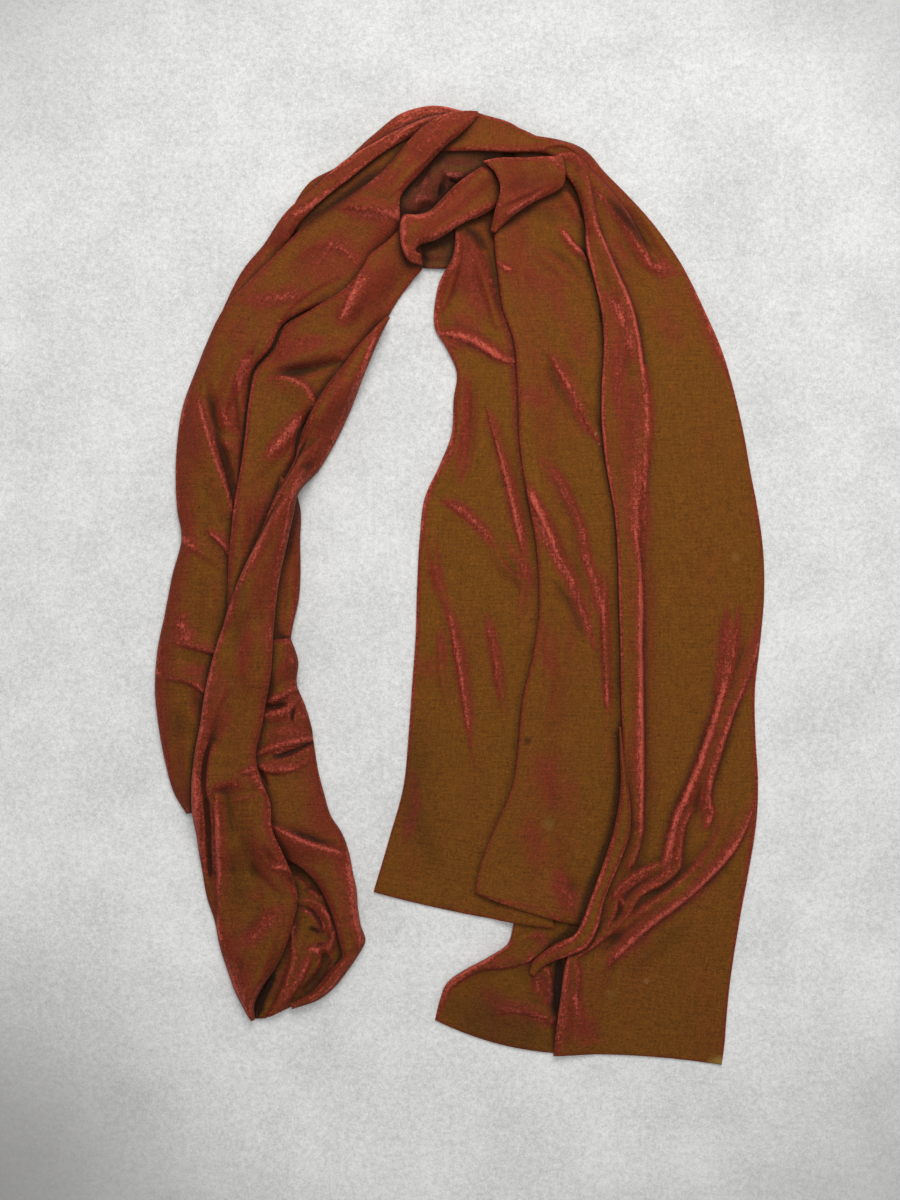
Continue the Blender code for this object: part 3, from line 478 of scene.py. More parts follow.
def velvet(name, flat, slope, crushed, deep):
    """Changeant velvet: painted sheen turns its colour with the slope, under a pinkish sheen."""
    material = bpy.data.materials.new(name)
    material.use_nodes = True
    tree = material.node_tree
    shader = tree.nodes["Principled BSDF"]
    weave = tree.nodes.new("ShaderNodeGroup")
    weave.node_tree = changeant
    for socket, fact, out in (("Cloth", "cloth", 1), ("Form", "form", 1), ("Marks With Painted Shade", "marks_with_painted_shade", 1),
                              ("Shade", "shade", 2)):
        fill(tree, weave.inputs[socket], node(tree, "Attribute", {}, out=out, attribute_name=fact))
    fill(tree, weave.inputs["Place"], node(tree, "TexCoord", {}, out=3))
    # the deep colour is that of the painted shade
    for socket, value in (("Flat", flat), ("Slope", slope), ("Crushed And Highlight", crushed), ("Painted Shade", deep)):
        weave.inputs[socket].default_value = (*value, 1.0)
    bump = node(tree, "Bump", {"Strength": 0.6, "Distance": 0.0006,
                               "Height": weave.outputs["Height"]})
    for socket, value in (("Base Color", weave.outputs["Color"]),
                          ("Roughness", weave.outputs["Roughness"]), ("Normal", bump)):
        fill(tree, shader.inputs[socket], value)
    for socket, value in (("Specular IOR Level", 0.15), ("Sheen Weight", 0.20),
                          ("Sheen Roughness", 0.38), ("Sheen Tint", (1.0, 0.34, 0.20, 1.0))):
        shader.inputs[socket].default_value = value
    return material


# A darker copy of the velvet, with painted shade, for the hidden layers and the inside of the twist.
VELVET_SHADED = velvet("silk_velvet_shaded", flat=(0.094, 0.038, 0.006), slope=(0.100, 0.019, 0.009),
                     crushed=(0.26, 0.048, 0.034), deep=(0.012, 0.0045, 0.0022))

stretch("hidden_arch", VELVET_SHADED, (
    (-127, 244, -88, 214, 5, 7, 5),
    (-108, 262, -70, 234, 6, 8, 6),
    (-78, 281, -52, 252, 6, 9, 6),
    (-46, 304, -36, 274, 6, 9, 6),
    (-14, 316, -14, 287, 6, 9, 6),
    (16, 314, 14, 290, 6, 8, 6),
    (44, 303, 42, 284, 5, 7, 5),
    (66, 296, 60, 276, 4, 5, 4),
), rim=HIDDEN_RIM, hollow=False)

stretch("hidden_leg", VELVET_SHADED, (
    (-140, 222, -62, 214, 5, 7, 5),
    (-160, 186, -68, 176, 6, 9, 6),
    (-174, 150, -86, 144, 6, 9, 6),
    (-182, 110, -102, 108, 6, 9, 6),
    (-186, 70, -118, 72, 6, 9, 6),
    (-186, 30, -124, 30, 6, 9, 6),
    (-192, -10, -126, -10, 6, 9, 6),
    (-198, -50, -126, -50, 6, 9, 6),
    (-198, -90, -118, -90, 6, 9, 6),
    (-192, -125, -112, -122, 6, 9, 6),
    (-178, -155, -106, -152, 6, 8, 6),
    (-172, -182, -98, -178, 5, 6, 5),
), rim=HIDDEN_RIM, hollow=False)

# The arch. Two bands of the doubled velvet run on from the left leg over the top, and the folded
# edge of the strip is the outermost of them. Nothing fixes them: they lie by their own weight.
VELVET = velvet("silk_velvet", flat=(0.136, 0.0460, 0.0032), slope=(0.160, 0.0215, 0.0072),
                crushed=(0.42, 0.070, 0.045), deep=(0.016, 0.005, 0.0018))

stretch("arch_back", VELVET, (
    (-122, 253, -106, 240, 4, 3, 3),
    (-104, 282, -84, 257, 6, 3, 3),
    (-84, 293, -68, 268, 6, 4, 3),
    (-62, 313, -50, 284, 7, 5, 3),
    (-40, 330, -32, 298, 8, 6, 3),
    (-18, 335, -16, 304, 8, 6, 3),
    (4, 330.5, 2, 304, 8, 6, 3),
    (24, 324, 20, 303, 7, 5, 3),
    (42, 319, 38, 301, 6, 4, 3),
    (59, 311, 54, 299, 5, 3, 3),
), folds=(
    (-96, 278, -62, 302, -30, 322, 0, 2.2, 0, 15.4, 8),
    (-60, 308, -40, 321, -14, 330, 0, 1.4, 0, 8.6, 4.4),
), pressed=(
    (5, -1.1, -110, 247, -94, 259, -79, 269.5, -65, 280, -50, 291),
    (8, 1, -53, 316, -29, 330, -10, 330, 11, 326), (6, 0.8, 11, 324, 44, 315, 57, 309),
    (2, 0.8, 0, 299, 40, 300, 76, 302), (5, 0.5, -4, 318, 30, 310), (4, 0.6, 20, 302, 56, 303),
), over=("hidden_arch",))

stretch("arch_outer", VELVET, (
    (-171, 179, -163, 182, 5, 4, 4),
    (-163, 197, -152, 196, 6, 5, 4),
    (-153, 217, -140, 212, 6, 5, 4),
    (-136, 239, -124, 230, 7, 6, 5),
    (-119, 260, -111, 251, 7, 6, 5),
    (-102, 275, -95, 267, 6, 5, 5),
    (-82, 292, -75, 282, 6, 5, 5),
    (-60, 305, -53, 298.5, 6, 5, 5),
    (-42, 315, -37, 308, 5, 5, 5),
    (-22, 323.5, -18, 314, 5, 5, 5),
    (-4, 326.5, -2, 316, 5, 4, 4),
    (8, 327.5, 9, 318, 4, 4, 4),
), folds=(
    (-47, 305, -33, 316, -10, 325.5, 0.8, 2, 0.8, 2.2, 3),
    (-47, 302, -36, 308.5, -24, 315, -0.5, -1.8, -0.8, 2.5, 2.5),
    (-152, 208, -130, 238, -100, 266, 0.3, 1.4, 0.3, 5.2, 5.2),
), pressed=(
    (7, 0.8, -104, 280, -80, 293, -53, 307, -21, 323), (3, 1, -121, 253, -102, 264, -84, 277),
    (3, 0.7, -84, 277, -60, 294),
), over=("hidden_arch", "hidden_leg", "arch_back"), rim=4)

# Inside of the twist. Two folds of the same velvet dip into the hollow under the arch, where
# they lie in shade, and take the darker copy of the velvet with painted shade. The layers that
# cross over them hold them down.
stretch("twist_inner", VELVET_SHADED, (
    (-47, 271, -43, 246, 4, 4, 4),
    (-32, 285, -27, 250, 4, 5, 4),
    (-22, 294, -15, 256, 4, 5, 4),
    (-11, 303, -6, 264, 4, 4, 4),
    (2, 305, 6, 272, 4, 4, 4),
    (16, 303, 18, 280, 4, 4, 4),
    (30, 301, 30, 286, 4, 4, 4),
), folds=(
    (-31, 262, -26, 268, -19, 268, 1.5, 4, 1.5, 5, 5),
    (-21, 291, -26, 283, -31, 275, -1, -3, -1, 2.4, 3),
    (-11, 284, -11.5, 277, -12, 269, -1, -3, -1, 2.4, 3),
    (-11, 286, 0, 283, 13, 288, 1.5, 3.5, 2, 9, 2.4),
    (-40, 272, -36, 280, -30, 288, 1, 2, 0.5, 4, 4),
), pressed=(
    (3.5, -1.2, -41, 267, -36, 275, -28, 285), (1.6, -1.5, -13, 280, -15, 270),
    (1.4, -1.5, -8, 282, -1, 280), (1.4, 1, -20, 285, -26, 275, -33, 263),
    (1.2, 1, -10, 284.5, 3, 285.5), (2, 0.5, -12, 294, 12, 292), (1.4, -0.9, -19, 291, -23, 281),
), over=("hidden_arch", "arch_back"), rim=3)

stretch("twist_under", VELVET_SHADED, (
    (-46, 252, -38, 223.5, 7, 6, 6),
    (-27, 250, -26, 222, 6, 5, 6),
    (-12, 256, -13, 221.5, 5, 4, 6),
    (10, 260, 3, 223.5, 4, 4, 5),
), folds=(
    (-32, 234, -20, 231, -8, 231, 0, 2.9, 0, 10.3, 5.3),
), over=("twist_inner",), rim=3)

# Turned corner of the long tail. The plain end of the tube, closed by hand, is folded back on
# itself there, and its two layers of velvet lie in soft waves.
stretch("tail_flap", VELVET, (
    (39, -228, 86, -226, 4, 2.8, 3),
    (37, -238, 90, -238, 5, 2.8, 3),
    (33, -250, 92, -250, 6, 2.8, 3),
    (18, -260, 90, -262, 7, 2.8, 3),
    (3, -268, 86, -276, 7, 2.8, 3),
    (-9, -277, 82, -292, 6, 2.8, 3),
    (-14, -289, 79, -309, 4, 3, 3, 2),
    (-17.5, -303.5, 77, -327, 2.6, 2.6, 2.6, 5.5),
), folds=(
    (60, -253, 42, -263, 20, -265.5, 1.5, 3, 3, 2.2, 10),
    (20, -265.5, 8, -269, -4, -277, 3, 2.6, 1.5, 2.4, 8),
    (44, -246, 52, -244, 60, -243, 0.4, 1.4, 0.4, 3, 3),
    (56, -268, 54, -277, 56, -287, 1.5, 2.4, 1, 3, 6),
    (58, -265, 63, -274, 66, -302, 1.5, 2.8, 2, 2.4, 10),
    (24, -299, 42, -296.5, 64, -303, 0.6, 2.2, 1.5, 9, 2.4),
), pressed=(
    (4.5, -1.6, 70, -256, 68, -280, 66, -302), (3, -0.9, 66, -300, 66, -326),
    (20, -0.45, -4, -292, 30, -306, 60, -316), (7, -0.35, 34, -262, 62, -276),
    (3, 0.9, 37, -248, 10, -265, -7, -277, -16, -300), (5, 0.5, 54, -248, 60, -245),
    (3, 0.8, 45, -268, 51, -256), (6, 0.5, 16, -283, 36, -296, 57, -303), (4, 0.8, 46, -300, 64, -305),
    (5, 0.7, 54, -271, 66, -292), (5, 0.5, 20, -262, 40, -262),
), rim=3.5)

# The short tail. Two panels of the doubled velvet come down side by side from the twist, the
# right one over the left one. The end of the tube is turned in and closed by hand.
stretch("tail_short_lower", VELVET, (
    (-7, 264, 34, 270, 4, 3, 3),
    (-3.5, 244, 29, 240, 6, 4, 3),
    (-5, 229, 31, 227, 7, 4, 3),
    (-13.5, 214, 34, 211, 6, 4, 3),
    (-17.5, 198, 38, 194, 5, 4, 3),
    (-17.5, 180, 42, 178, 5, 4, 3),
    (-9, 165, 46, 163, 5, 4, 3),
    (-2.5, 150, 48, 148, 5, 4, 3),
    (-4.5, 130, 49, 128, 5, 4, 3),
    (-6, 106, 50, 106, 5, 4, 3),
    (-14, 85, 52, 84, 5, 4, 3),
    (-24.5, 62, 58, 60, 4, 4, 3),
    (-28, 35, 64, 34, 4, 4, 3),
    (-30, 0, 66, 0, 4, 4, 3),
    (-31, -35, 64, -35, 4, 4, 3),
    (-33.5, -70, 58, -70, 4, 3.4, 3),
    (-36, -105, 54, -110, 3.5, 3, 3),
    (-39.5, -140, 50, -148, 3, 2.8, 3),
    (-49, -175, 56, -190, 3, 2.8, 3),
    (-60.5, -214, 66, -239, 2.6, 2.6, 2.6, 2.5),
), folds=(
    (-1, 243, -3, 222, -12, 194, 1, 3.5, 1.5, 4, 6),
    (6, 243, 15, 218, 26, 182, 1, 3, 1.5, 7, 5),
    (-15, 176, 4, 172.5, 20, 163, 1, 4, 3.5, 8, 3),
    (20, 163, 28, 158.5, 37, 156.5, 3.5, 2.5, 1, 6, 2.5),
    (-12, 170, -5, 168, 0, 164, 0.4, 1.6, 0.4, 3, 3),
    (0, 152, 1, 118, -8, 76, 0.5, 2, 0.5, 7, 7),
    (8, 150, 9, 115, 3, 72, -0.4, -1.4, -0.4, 5, 4),
    (18, 126, 28, 92, 33, 72, 0.5, 3, 3, 8, 2.5),
    (33, 72, 38, 52, 44, 22, 3, 3, 1, 8, 2.5),
    (44, 22, 44, 4, 40, -20, 1, 1.5, 0.3, 6, 3),
    (-14, 62, 0, 53, 14, 41, 0.5, 2, 1.5, 6, 4),
    (14, 41, 22, 33, 29, 18, 1.5, 1.5, 0.5, 5, 4),
    (-19, 38, -16, 10, -9, -12, 0.5, 2, 1, 5, 7),
    (22, 35, 32, 13, 48, 3, 0.5, 2.2, 1, 3, 8),
    (-8, -13, 0, -55, 6, -95, 1, 2.4, 1.5, 7, 4),
    (6, -95, 9, -112, 13, -130, 1.5, 1.2, 0.3, 6, 4),
    (18, -20, 26, -58, 31, -98, 0.5, 2, 0.5, 6, 4),
    (-14, -28, -13, -58, -8, -86, 0.4, 1.6, 0.4, 5, 4),
    (-22, -112, -24, -134, -27, -152, -0.3, -1, -0.3, 5, 5),
), pressed=(
    (3.5, -0.8, 20, 236, 25, 210, 28, 190), (4.5, -1, 1, 250, 10, 244, 19, 234),
    (13, -0.35, -28, -96, -34, -150, -20, -192), (3, -0.4, 34, 20, 42, -4),
    (2.5, 0.8, -2, 243, 0, 228, -14, 211, -17, 188, -14, 171, -2, 159),
    (2, 0.9, 4, 246, 18, 223, 30, 191, 37, 161, 38, 113, 44, 78, 50, 43),
    (6, 0.7, 5, 241, 8, 213, 15, 188), (5, 1.1, -10, 176, 8, 171, 33, 158), (6, 0.6, -4, 188, 13, 178),
    (4, 0.6, 3, 143, 5, 113, 0, 73), (3.5, 1, 25, 101, 32, 74, 38, 51, 45, 23),
    (4, 0.6, 20, 121, 25, 103), (4, 0.8, -12, 58, 3, 53, 23, 28),
    (2.5, 0.9, -4, 123, -7, 93, -17, 78, -24, 58, -28, 26), (3, 0.9, -13, -6, -4, -32, 2, -73, 8, -111),
    (3, 0.6, -19, 15, -13, -6), (3.5, 0.7, 19, -20, 25, -50, 28, -76), (3, 0.5, -13, -32, -10, -55),
    (3, 0.8, 31, 32, 43, 15, 51, 3), (2, 0.6, -29, 32, -30, -41, -36, -108, -42, -149),
    (4, 0.6, -33, -131, -30, -154, -39, -178), (6, 0.4, -27, -50, -19, -64),
), over=("tail_flap", "twist_under"))

stretch("tail_short_upper", VELVET, (
    (38, 303, 74, 305, 3, 3, 3),
    (32, 276, 88, 276, 4, 4, 3),
    (24, 252, 94, 252, 4, 4, 3),
    (24.5, 232, 98, 234, 5, 4, 3),
    (27, 212, 104, 212, 5, 4, 3),
    (30, 192, 110, 190, 4, 4, 3),
    (37, 172, 110, 172, 4, 4, 3),
    (39.5, 148, 109, 148, 4, 4, 3),
    (40.5, 126, 108, 126, 4, 4, 3),
    (41, 106, 110, 104, 4, 4, 3),
    (43.5, 82, 114, 80, 4, 4, 3),
    (48.5, 54, 118, 52, 4, 4, 3),
    (53, 28, 120, 26, 4, 4, 3),
    (55, 0, 121, 0, 4, 4, 3),
    (54.5, -25, 122, -25, 4, 4, 3),
    (50, -52, 122, -52, 4, 4, 3),
    (43.5, -80, 122, -80, 4, 3.6, 3),
    (40.5, -112, 122, -112, 4, 3.2, 3),
    (36, -141, 120, -146, 3, 2.8, 3),
    (24.5, -168, 112, -180, 3, 2.8, 3),
    (14, -195, 100, -212, 3, 2.8, 3),
    (10.5, -214, 84, -237, 2.6, 2.6, 2.6, 1.5),
), folds=(
    (71, 249, 77, 240.5, 82, 235, 0.8, 3, 2.6, 2.2, 7),
    (82, 235, 86, 231.5, 89.5, 225, 2.6, 2.4, 1, 2.2, 5),
    (47, 234, 66, 224, 86, 203, 0.5, 1.8, 0.5, 9, 7),
    (56, 236, 74, 226, 90, 207, -0.4, -1.3, -0.3, 5, 6),
    (26, 226, 31, 221, 38, 219.5, 0.3, 1.6, 0.4, 3, 2.4),
    (54, 172, 70, 150, 84, 125.5, 0.5, 2.6, 2.4, 10, 3.5),
    (84, 125.5, 91, 111, 99.5, 99.5, 2.4, 2.2, 0.8, 8, 3),
    (62, 150, 72, 131, 84, 108, -0.5, -1.4, -0.4, 5, 7),
    (62, 84, 76, 61, 88.5, 22, 0.5, 2.2, 1.6, 5, 6),
    (88.5, 22, 93, 2, 98, -22, 1.6, 1.4, 0.3, 5, 5),
    (46.5, 66, 57, 46, 68, 21, 0.8, 3.4, 2.4, 8, 2.6),
    (68, 21, 76, 8, 90, -20, 2.4, 2.4, 0.6, 7, 2.6),
    (100, 12, 100.5, -38, 103, -88, 0.5, 3, 1.6, 6, 2.6),
    (103, -88, 103, -110, 101, -130, 1.6, 0.8, 0.2, 5, 4),
    (60, -16, 62, -60, 56, -104, 0.3, 1.2, 0.3, 8, 6),
    (73, 274, 79, 266, 86, 252, 1.5, 3, 1, 4, 7),
), pressed=(
    (9, 0.4, 62, 264, 80, 250), (1.4, -1.4, 83, 264, 85.5, 254), (1.6, -1.7, 84.5, 238, 91, 225),
    (1.8, -1.6, 97.5, 193, 99.5, 183), (3, -0.6, 66, 3, 78, -14, 86, -35), (6, -0.35, 49, 263, 70, 256),
    (4, -0.3, 66, 72, 80, 44), (2.5, 1, 71, 248, 81, 236, 88, 231),
    (6, 0.45, 49, 218, 66, 208, 86, 158), (3, 0.8, 64, 161, 76, 138, 86, 113, 99, 96),
    (4, 0.8, 56, 88, 69, 71, 86, 38, 89, 18), (4, 1.1, 49, 71, 59, 33, 69, 18),
    (2.5, 0.9, 30, 223, 35, 218), (6, 0.5, 40, 136, 58, 128), (4, 1, 50, 61, 59, 42, 68, 21),
    (3, 1.1, 57, 32, 75, 6, 86, -20, 95, -44), (3.5, 1, 83, 32, 95, 0, 101, -26),
    (2.5, 0.7, 102, -67, 102, -84), (12, 0.45, 51, -120, 75, -154), (6, 0.4, 48, -160, 54, -201),
    (6, 0.7, 69, -201, 80, -230), (1.5, 0.6, 13, -216, 57, -224, 78, -239), (5, 0.4, 57, -26, 63, -60),
), over=("hidden_arch", "tail_flap", "tail_short_lower"))

# The long tail. The whole width of the doubled velvet comes round the arch and down on the
# right. Its edges are folded over lengthwise, and a gathered fold crosses its lower end.
stretch("tail_long", VELVET, (
    (-14, 299.5, -7, 321, 3, 3, 3),
    (-2, 299.5, 8, 326, 4, 4, 4),
    (12, 299.5, 16, 324.5, 5, 5, 5),
    (32, 299, 32, 321, 5, 5, 6),
    (50, 300, 50, 312, 5, 5, 6),
    (62, 298, 68, 309.5, 5, 5, 6),
    (68, 289, 86, 304, 6, 7, 6),
    (78, 279, 101, 289, 7, 6, 5),
    (84, 265, 118, 272, 7, 6, 5),
    (87, 250, 135, 253, 7, 5, 5),
    (88, 232, 152, 229, 7, 5, 5),
    (93, 214, 162, 211, 7, 4, 5),
    (98, 192, 172, 190, 7, 4, 5),
    (100, 168, 182.5, 166, 7, 4, 4),
    (98.5, 138, 191, 138, 7, 4, 4),
    (98.5, 112, 198, 108, 7, 4, 4),
    (101.5, 84, 203, 80, 6, 2.7, 3.6),
    (107, 54, 208, 54, 6, 2.7, 3.4),
    (109.5, 24, 212, 24, 6, 2.7, 3.4),
    (110.5, -8, 212.5, -8, 6, 2.7, 3.4),
    (111.5, -42, 209.5, -42, 6, 2.7, 3.4),
    (112, -76, 206.3, -72, 6, 2.7, 3.4),
    (113, -108, 206.5, -104, 6, 2.7, 3.4),
    (112, -140, 208.3, -138, 5, 3.4, 4),
    (107, -170, 207, -166, 5, 4, 4),
    (98, -200, 202, -198, 5, 4, 4),
    (88, -224, 196.5, -228, 5, 4, 3.4),
    (79, -246, 192, -255, 5, 2.8, 3),
    (73, -264, 188.5, -279, 6, 2.7, 3),
    (70, -286, 186.3, -302, 6, 2.7, 3),
    (67, -308, 185, -320, 5, 2.8, 3),
    (65, -328, 183, -335, 3, 2.6, 2.6, -3),
), folds=(
    (5, 300.5, 30, 299.5, 56, 301.5, 1, 2, 2, 5, 2),
    (56, 301.5, 72, 304, 86, 295, 2, 2.2, 1, 5, 2),
    (10, 325, 34, 318.5, 60, 309, 0.5, 1.5, 0.5, 3, 6),
    (64, 295, 76, 298, 87, 291, 1, 2.5, 2, 2.4, 6),
    (87, 290, 90, 270, 94.5, 249, 2, 4, 4, 3, 8),
    (94.5, 249, 104, 226, 113, 207, 4, 4.5, 4.5, 3, 10),
    (113, 207, 121, 184, 127, 150, 4.5, 4.5, 3, 3, 12),
    (127, 150, 130.5, 118, 129, 88, 3, 2.4, 2, 6, 10),
    (129, 88, 123, 60, 122, 36, 2, 2.4, 2.6, 5, 10),
    (122, 36, 125, 0, 125, -40, 2.6, 4, 4.4, 2.6, 12),
    (125, -40, 126.5, -100, 126, -160, 4.4, 4.6, 4.4, 2.4, 12),
    (126, -160, 125, -176, 120, -193, 4.4, 4.4, 4, 2.4, 8),
    (115, 198, 116.5, 183, 111.5, 149, 0.5, 1.8, 0.5, 3, 3),
    (104, 206, 110, 203, 117, 198, 0.3, 1.2, 0.3, 3, 2),
    (108, 196, 112, 191, 117, 187, 0.3, 1, 0.3, 2.4, 2.4),
    (88, 289.5, 103, 274, 117.5, 256, 1.5, 3.6, 4, 2.6, 10),
    (117.5, 256, 124, 243, 131, 229, 4, 4.2, 3.4, 2.4, 11),
    (131, 229, 135, 223.5, 143, 220, 3.4, 2.4, 0.5, 3, 7),
    (117, 264, 127, 248, 141, 228, -1, -2.8, -1, 6, 4),
    (103, 243, 112, 229, 131, 211, 0.4, 1.8, 0.4, 7, 6),
    (189, -8, 188, -42, 183, -72, 0.8, 3, 3.4, 9, 7),
    (183, -72, 179.5, -88, 174, -102, 3.4, 4, 4.4, 10, 3.5),
    (174, -102, 165, -127, 155, -149, 4.4, 5, 5, 11, 2.4),
    (155, -149, 149, -163, 146, -180, 5, 4.8, 4, 7, 2.4),
    (146, -180, 143.5, -190, 140, -196, 4, 3, 2.4, 6, 3.5),
    (210, -36, 200, -63, 191, -86, 1.2, 3.4, 4, 2.2, 11),
    (191, -86, 183, -111, 175, -137, 4, 4.6, 4.2, 2.2, 11),
    (175, -137, 173.5, -147, 175.5, -154, 4.2, 3.6, 3, 2.2, 9),
    (175.5, -154, 175, -162, 170, -170, 3, 2.2, 0.6, 2.2, 5),
    (161, -158, 155.5, -169, 153, -190, 2.5, 4, 4.4, 2.4, 6),
    (140, -194, 124, -200, 108, -213, 2.4, 3.6, 3, 9, 2.4),
    (153, -190, 150, -199, 137, -209, 4.4, 4.2, 4, 2.4, 9),
    (137, -209, 125, -216, 118, -228, 4, 3.4, 3.4, 2.4, 7),
    (118, -228, 110, -237, 97, -247, 3.4, 3.6, 3.6, 2.4, 6),
    (97, -247, 89, -252.5, 79, -259, 3.6, 3, 1.5, 2.2, 4),
    (109, -219.5, 113, -219, 114.5, -228, 1, 2.6, 1, 2, 2.6),
    (108.5, -218, 107.5, -228, 101, -240, 1.5, 3, 3, 2, 4),
    (204, -155, 196, -174, 188, -187, 1.5, 3.4, 4, 2.4, 12),
    (188, -187, 172, -204, 150, -223, 4, 4.6, 4.4, 2.4, 12),
    (150, -223, 133, -236, 120, -248, 4.4, 4, 3.4, 2.6, 10),
    (120, -248, 110, -257, 100, -268, 3.4, 2.6, 0.6, 3, 8),
    (184, -160, 178, -179, 166, -194, 0.5, 2.6, 3, 9, 5),
    (166, -194, 148, -211, 128, -225, 3, 3.4, 3.2, 9, 3.5),
    (128, -225, 118, -233, 108, -240, 3.2, 2.6, 1.5, 7, 3),
    (78, -258, 81.5, -270, 79.5, -286, 1, 3, 2, 4, 5),
    (79.5, -286, 82, -298, 84, -308, 2, 1.2, 0.4, 5, 4),
    (74, -258, 73, -290, 70, -330, 2, 2.5, 1.5, 7, 5),
    (145, -31, 165, -26.5, 189, -18, 0, 0.4, 0, 2.9, 2.9),
    (145, -46, 165, -43.5, 185, -39, 0, -0.4, 0, 2.9, 2.9),
), pressed=(
    (2, -0.6, 118, -143, 117, -181), (3, -0.8, 101, -219, 98, -231),
    (4, -0.95, 103, 269, 121, 249, 133, 234), (3, -0.5, 79, 284, 84, 263),
    (6, -0.3, 120, -270, 160, -235), (2.5, 0.7, 64, 296, 81, 296, 88, 283),
    (2.5, 1.1, 88, 283, 94, 248, 103, 233, 114, 206, 124, 173, 128, 143, 130, 121, 129, 58, 128, 18),
    (5, 1.1, 101, 203, 109, 193, 116, 178, 120, 158), (4, 0.8, 109, 173, 109, 143, 111, 118),
    (7, 0.85, 121, 138, 124, 103, 121, 58, 124, 18), (1.5, 0.9, 84, 261, 95, 208, 99, 191),
    (1.5, 0.9, 103, 183, 99, 158, 99, 113, 101, 93, 109, 43, 110, 32),
    (2.2, 0.9, 80, 289, 98, 270, 117, 248, 131, 225, 141, 218, 159, 218), (5, 0.8, 136, 223, 149, 221),
    (5, 0.8, 159, 216, 174, 183, 189, 148), (4, 0.5, 81, 303, 124, 251), (8, 0.35, 131, 193, 154, 171),
    (2, 0.9, 110, 32, 111, -131, 112, -154), (3, 1.1, 126, 32, 126, -26, 125, -114, 126, -172),
    (3, 1, 196, -14, 191, -44, 180, -84, 162, -137, 150, -166, 145, -198, 124, -213),
    (2.5, 0.8, 209, -35, 206, -55, 183, -105, 174, -131, 174, -169), (5, 0.7, 186, -20, 183, -79),
    (4, 0.8, 168, -143, 174, -169), (4, 0.8, 145, -169, 145, -198), (3, 0.9, 110, -216, 133, -198),
    (4, 1, 206, -157, 185, -190, 162, -216, 133, -236, 104, -260), (5, 0.9, 133, -239, 104, -262),
    (5, 0.7, 203, -157, 206, -181), (2, 0.6, 210, 32, 206, -55, 207, -143, 196, -232, 183, -332),
    (2.5, 0.8, 75, -260, 69, -289, 67, -326), (4, 0.8, 80, -283, 83, -300),
    (8, 0.5, 78, -303, 98, -318), (2, 0.5, 190, 148, 204, 90, 210, 32),
), over=("hidden_arch", "arch_back", "arch_outer", "twist_inner",
         "tail_flap", "tail_short_lower", "tail_short_upper"))

stretch("tail_gather", VELVET, (
    (110.6, -98, 111.8, -98, 2.4, 2.4, 2.4),
    (111, -116, 113.4, -116, 2.6, 3, 2.6),
    (111.5, -134, 115.6, -134, 3, 4, 3),
    (110, -152, 118, -152, 4, 5, 4),
    (106.5, -170, 117.5, -172, 4.6, 5, 4.6),
    (101.5, -186, 111.5, -190, 4.8, 5, 4.8),
    (95, -204, 104, -207, 5, 5, 5),
    (89.5, -218, 98.5, -221, 5, 5, 5),
    (85, -231, 95.5, -235, 5, 5, 5),
    (79, -241.5, 88, -250, 4.8, 5, 4.8),
    (68, -247.5, 74.5, -256.5, 4, 4.4, 4),
    (57.5, -255, 62.5, -262, 3.2, 3.6, 3.2),
    (50.5, -262, 55.5, -267, 2.6, 2.8, 2.6),
    (48, -270, 51.5, -272, 2.4, 2.4, 2.4),
), pressed=(
    (1.6, 0.9, 108, -172, 103, -188, 91, -218, 86, -232, 80, -242, 52, -262),
    (1.6, 0.9, 117, -172, 111, -190, 98, -222, 94, -236, 86, -249, 56, -266),
), over=("tail_flap", "tail_short_lower", "tail_short_upper", "tail_long"), rim=4, crown=2.2)

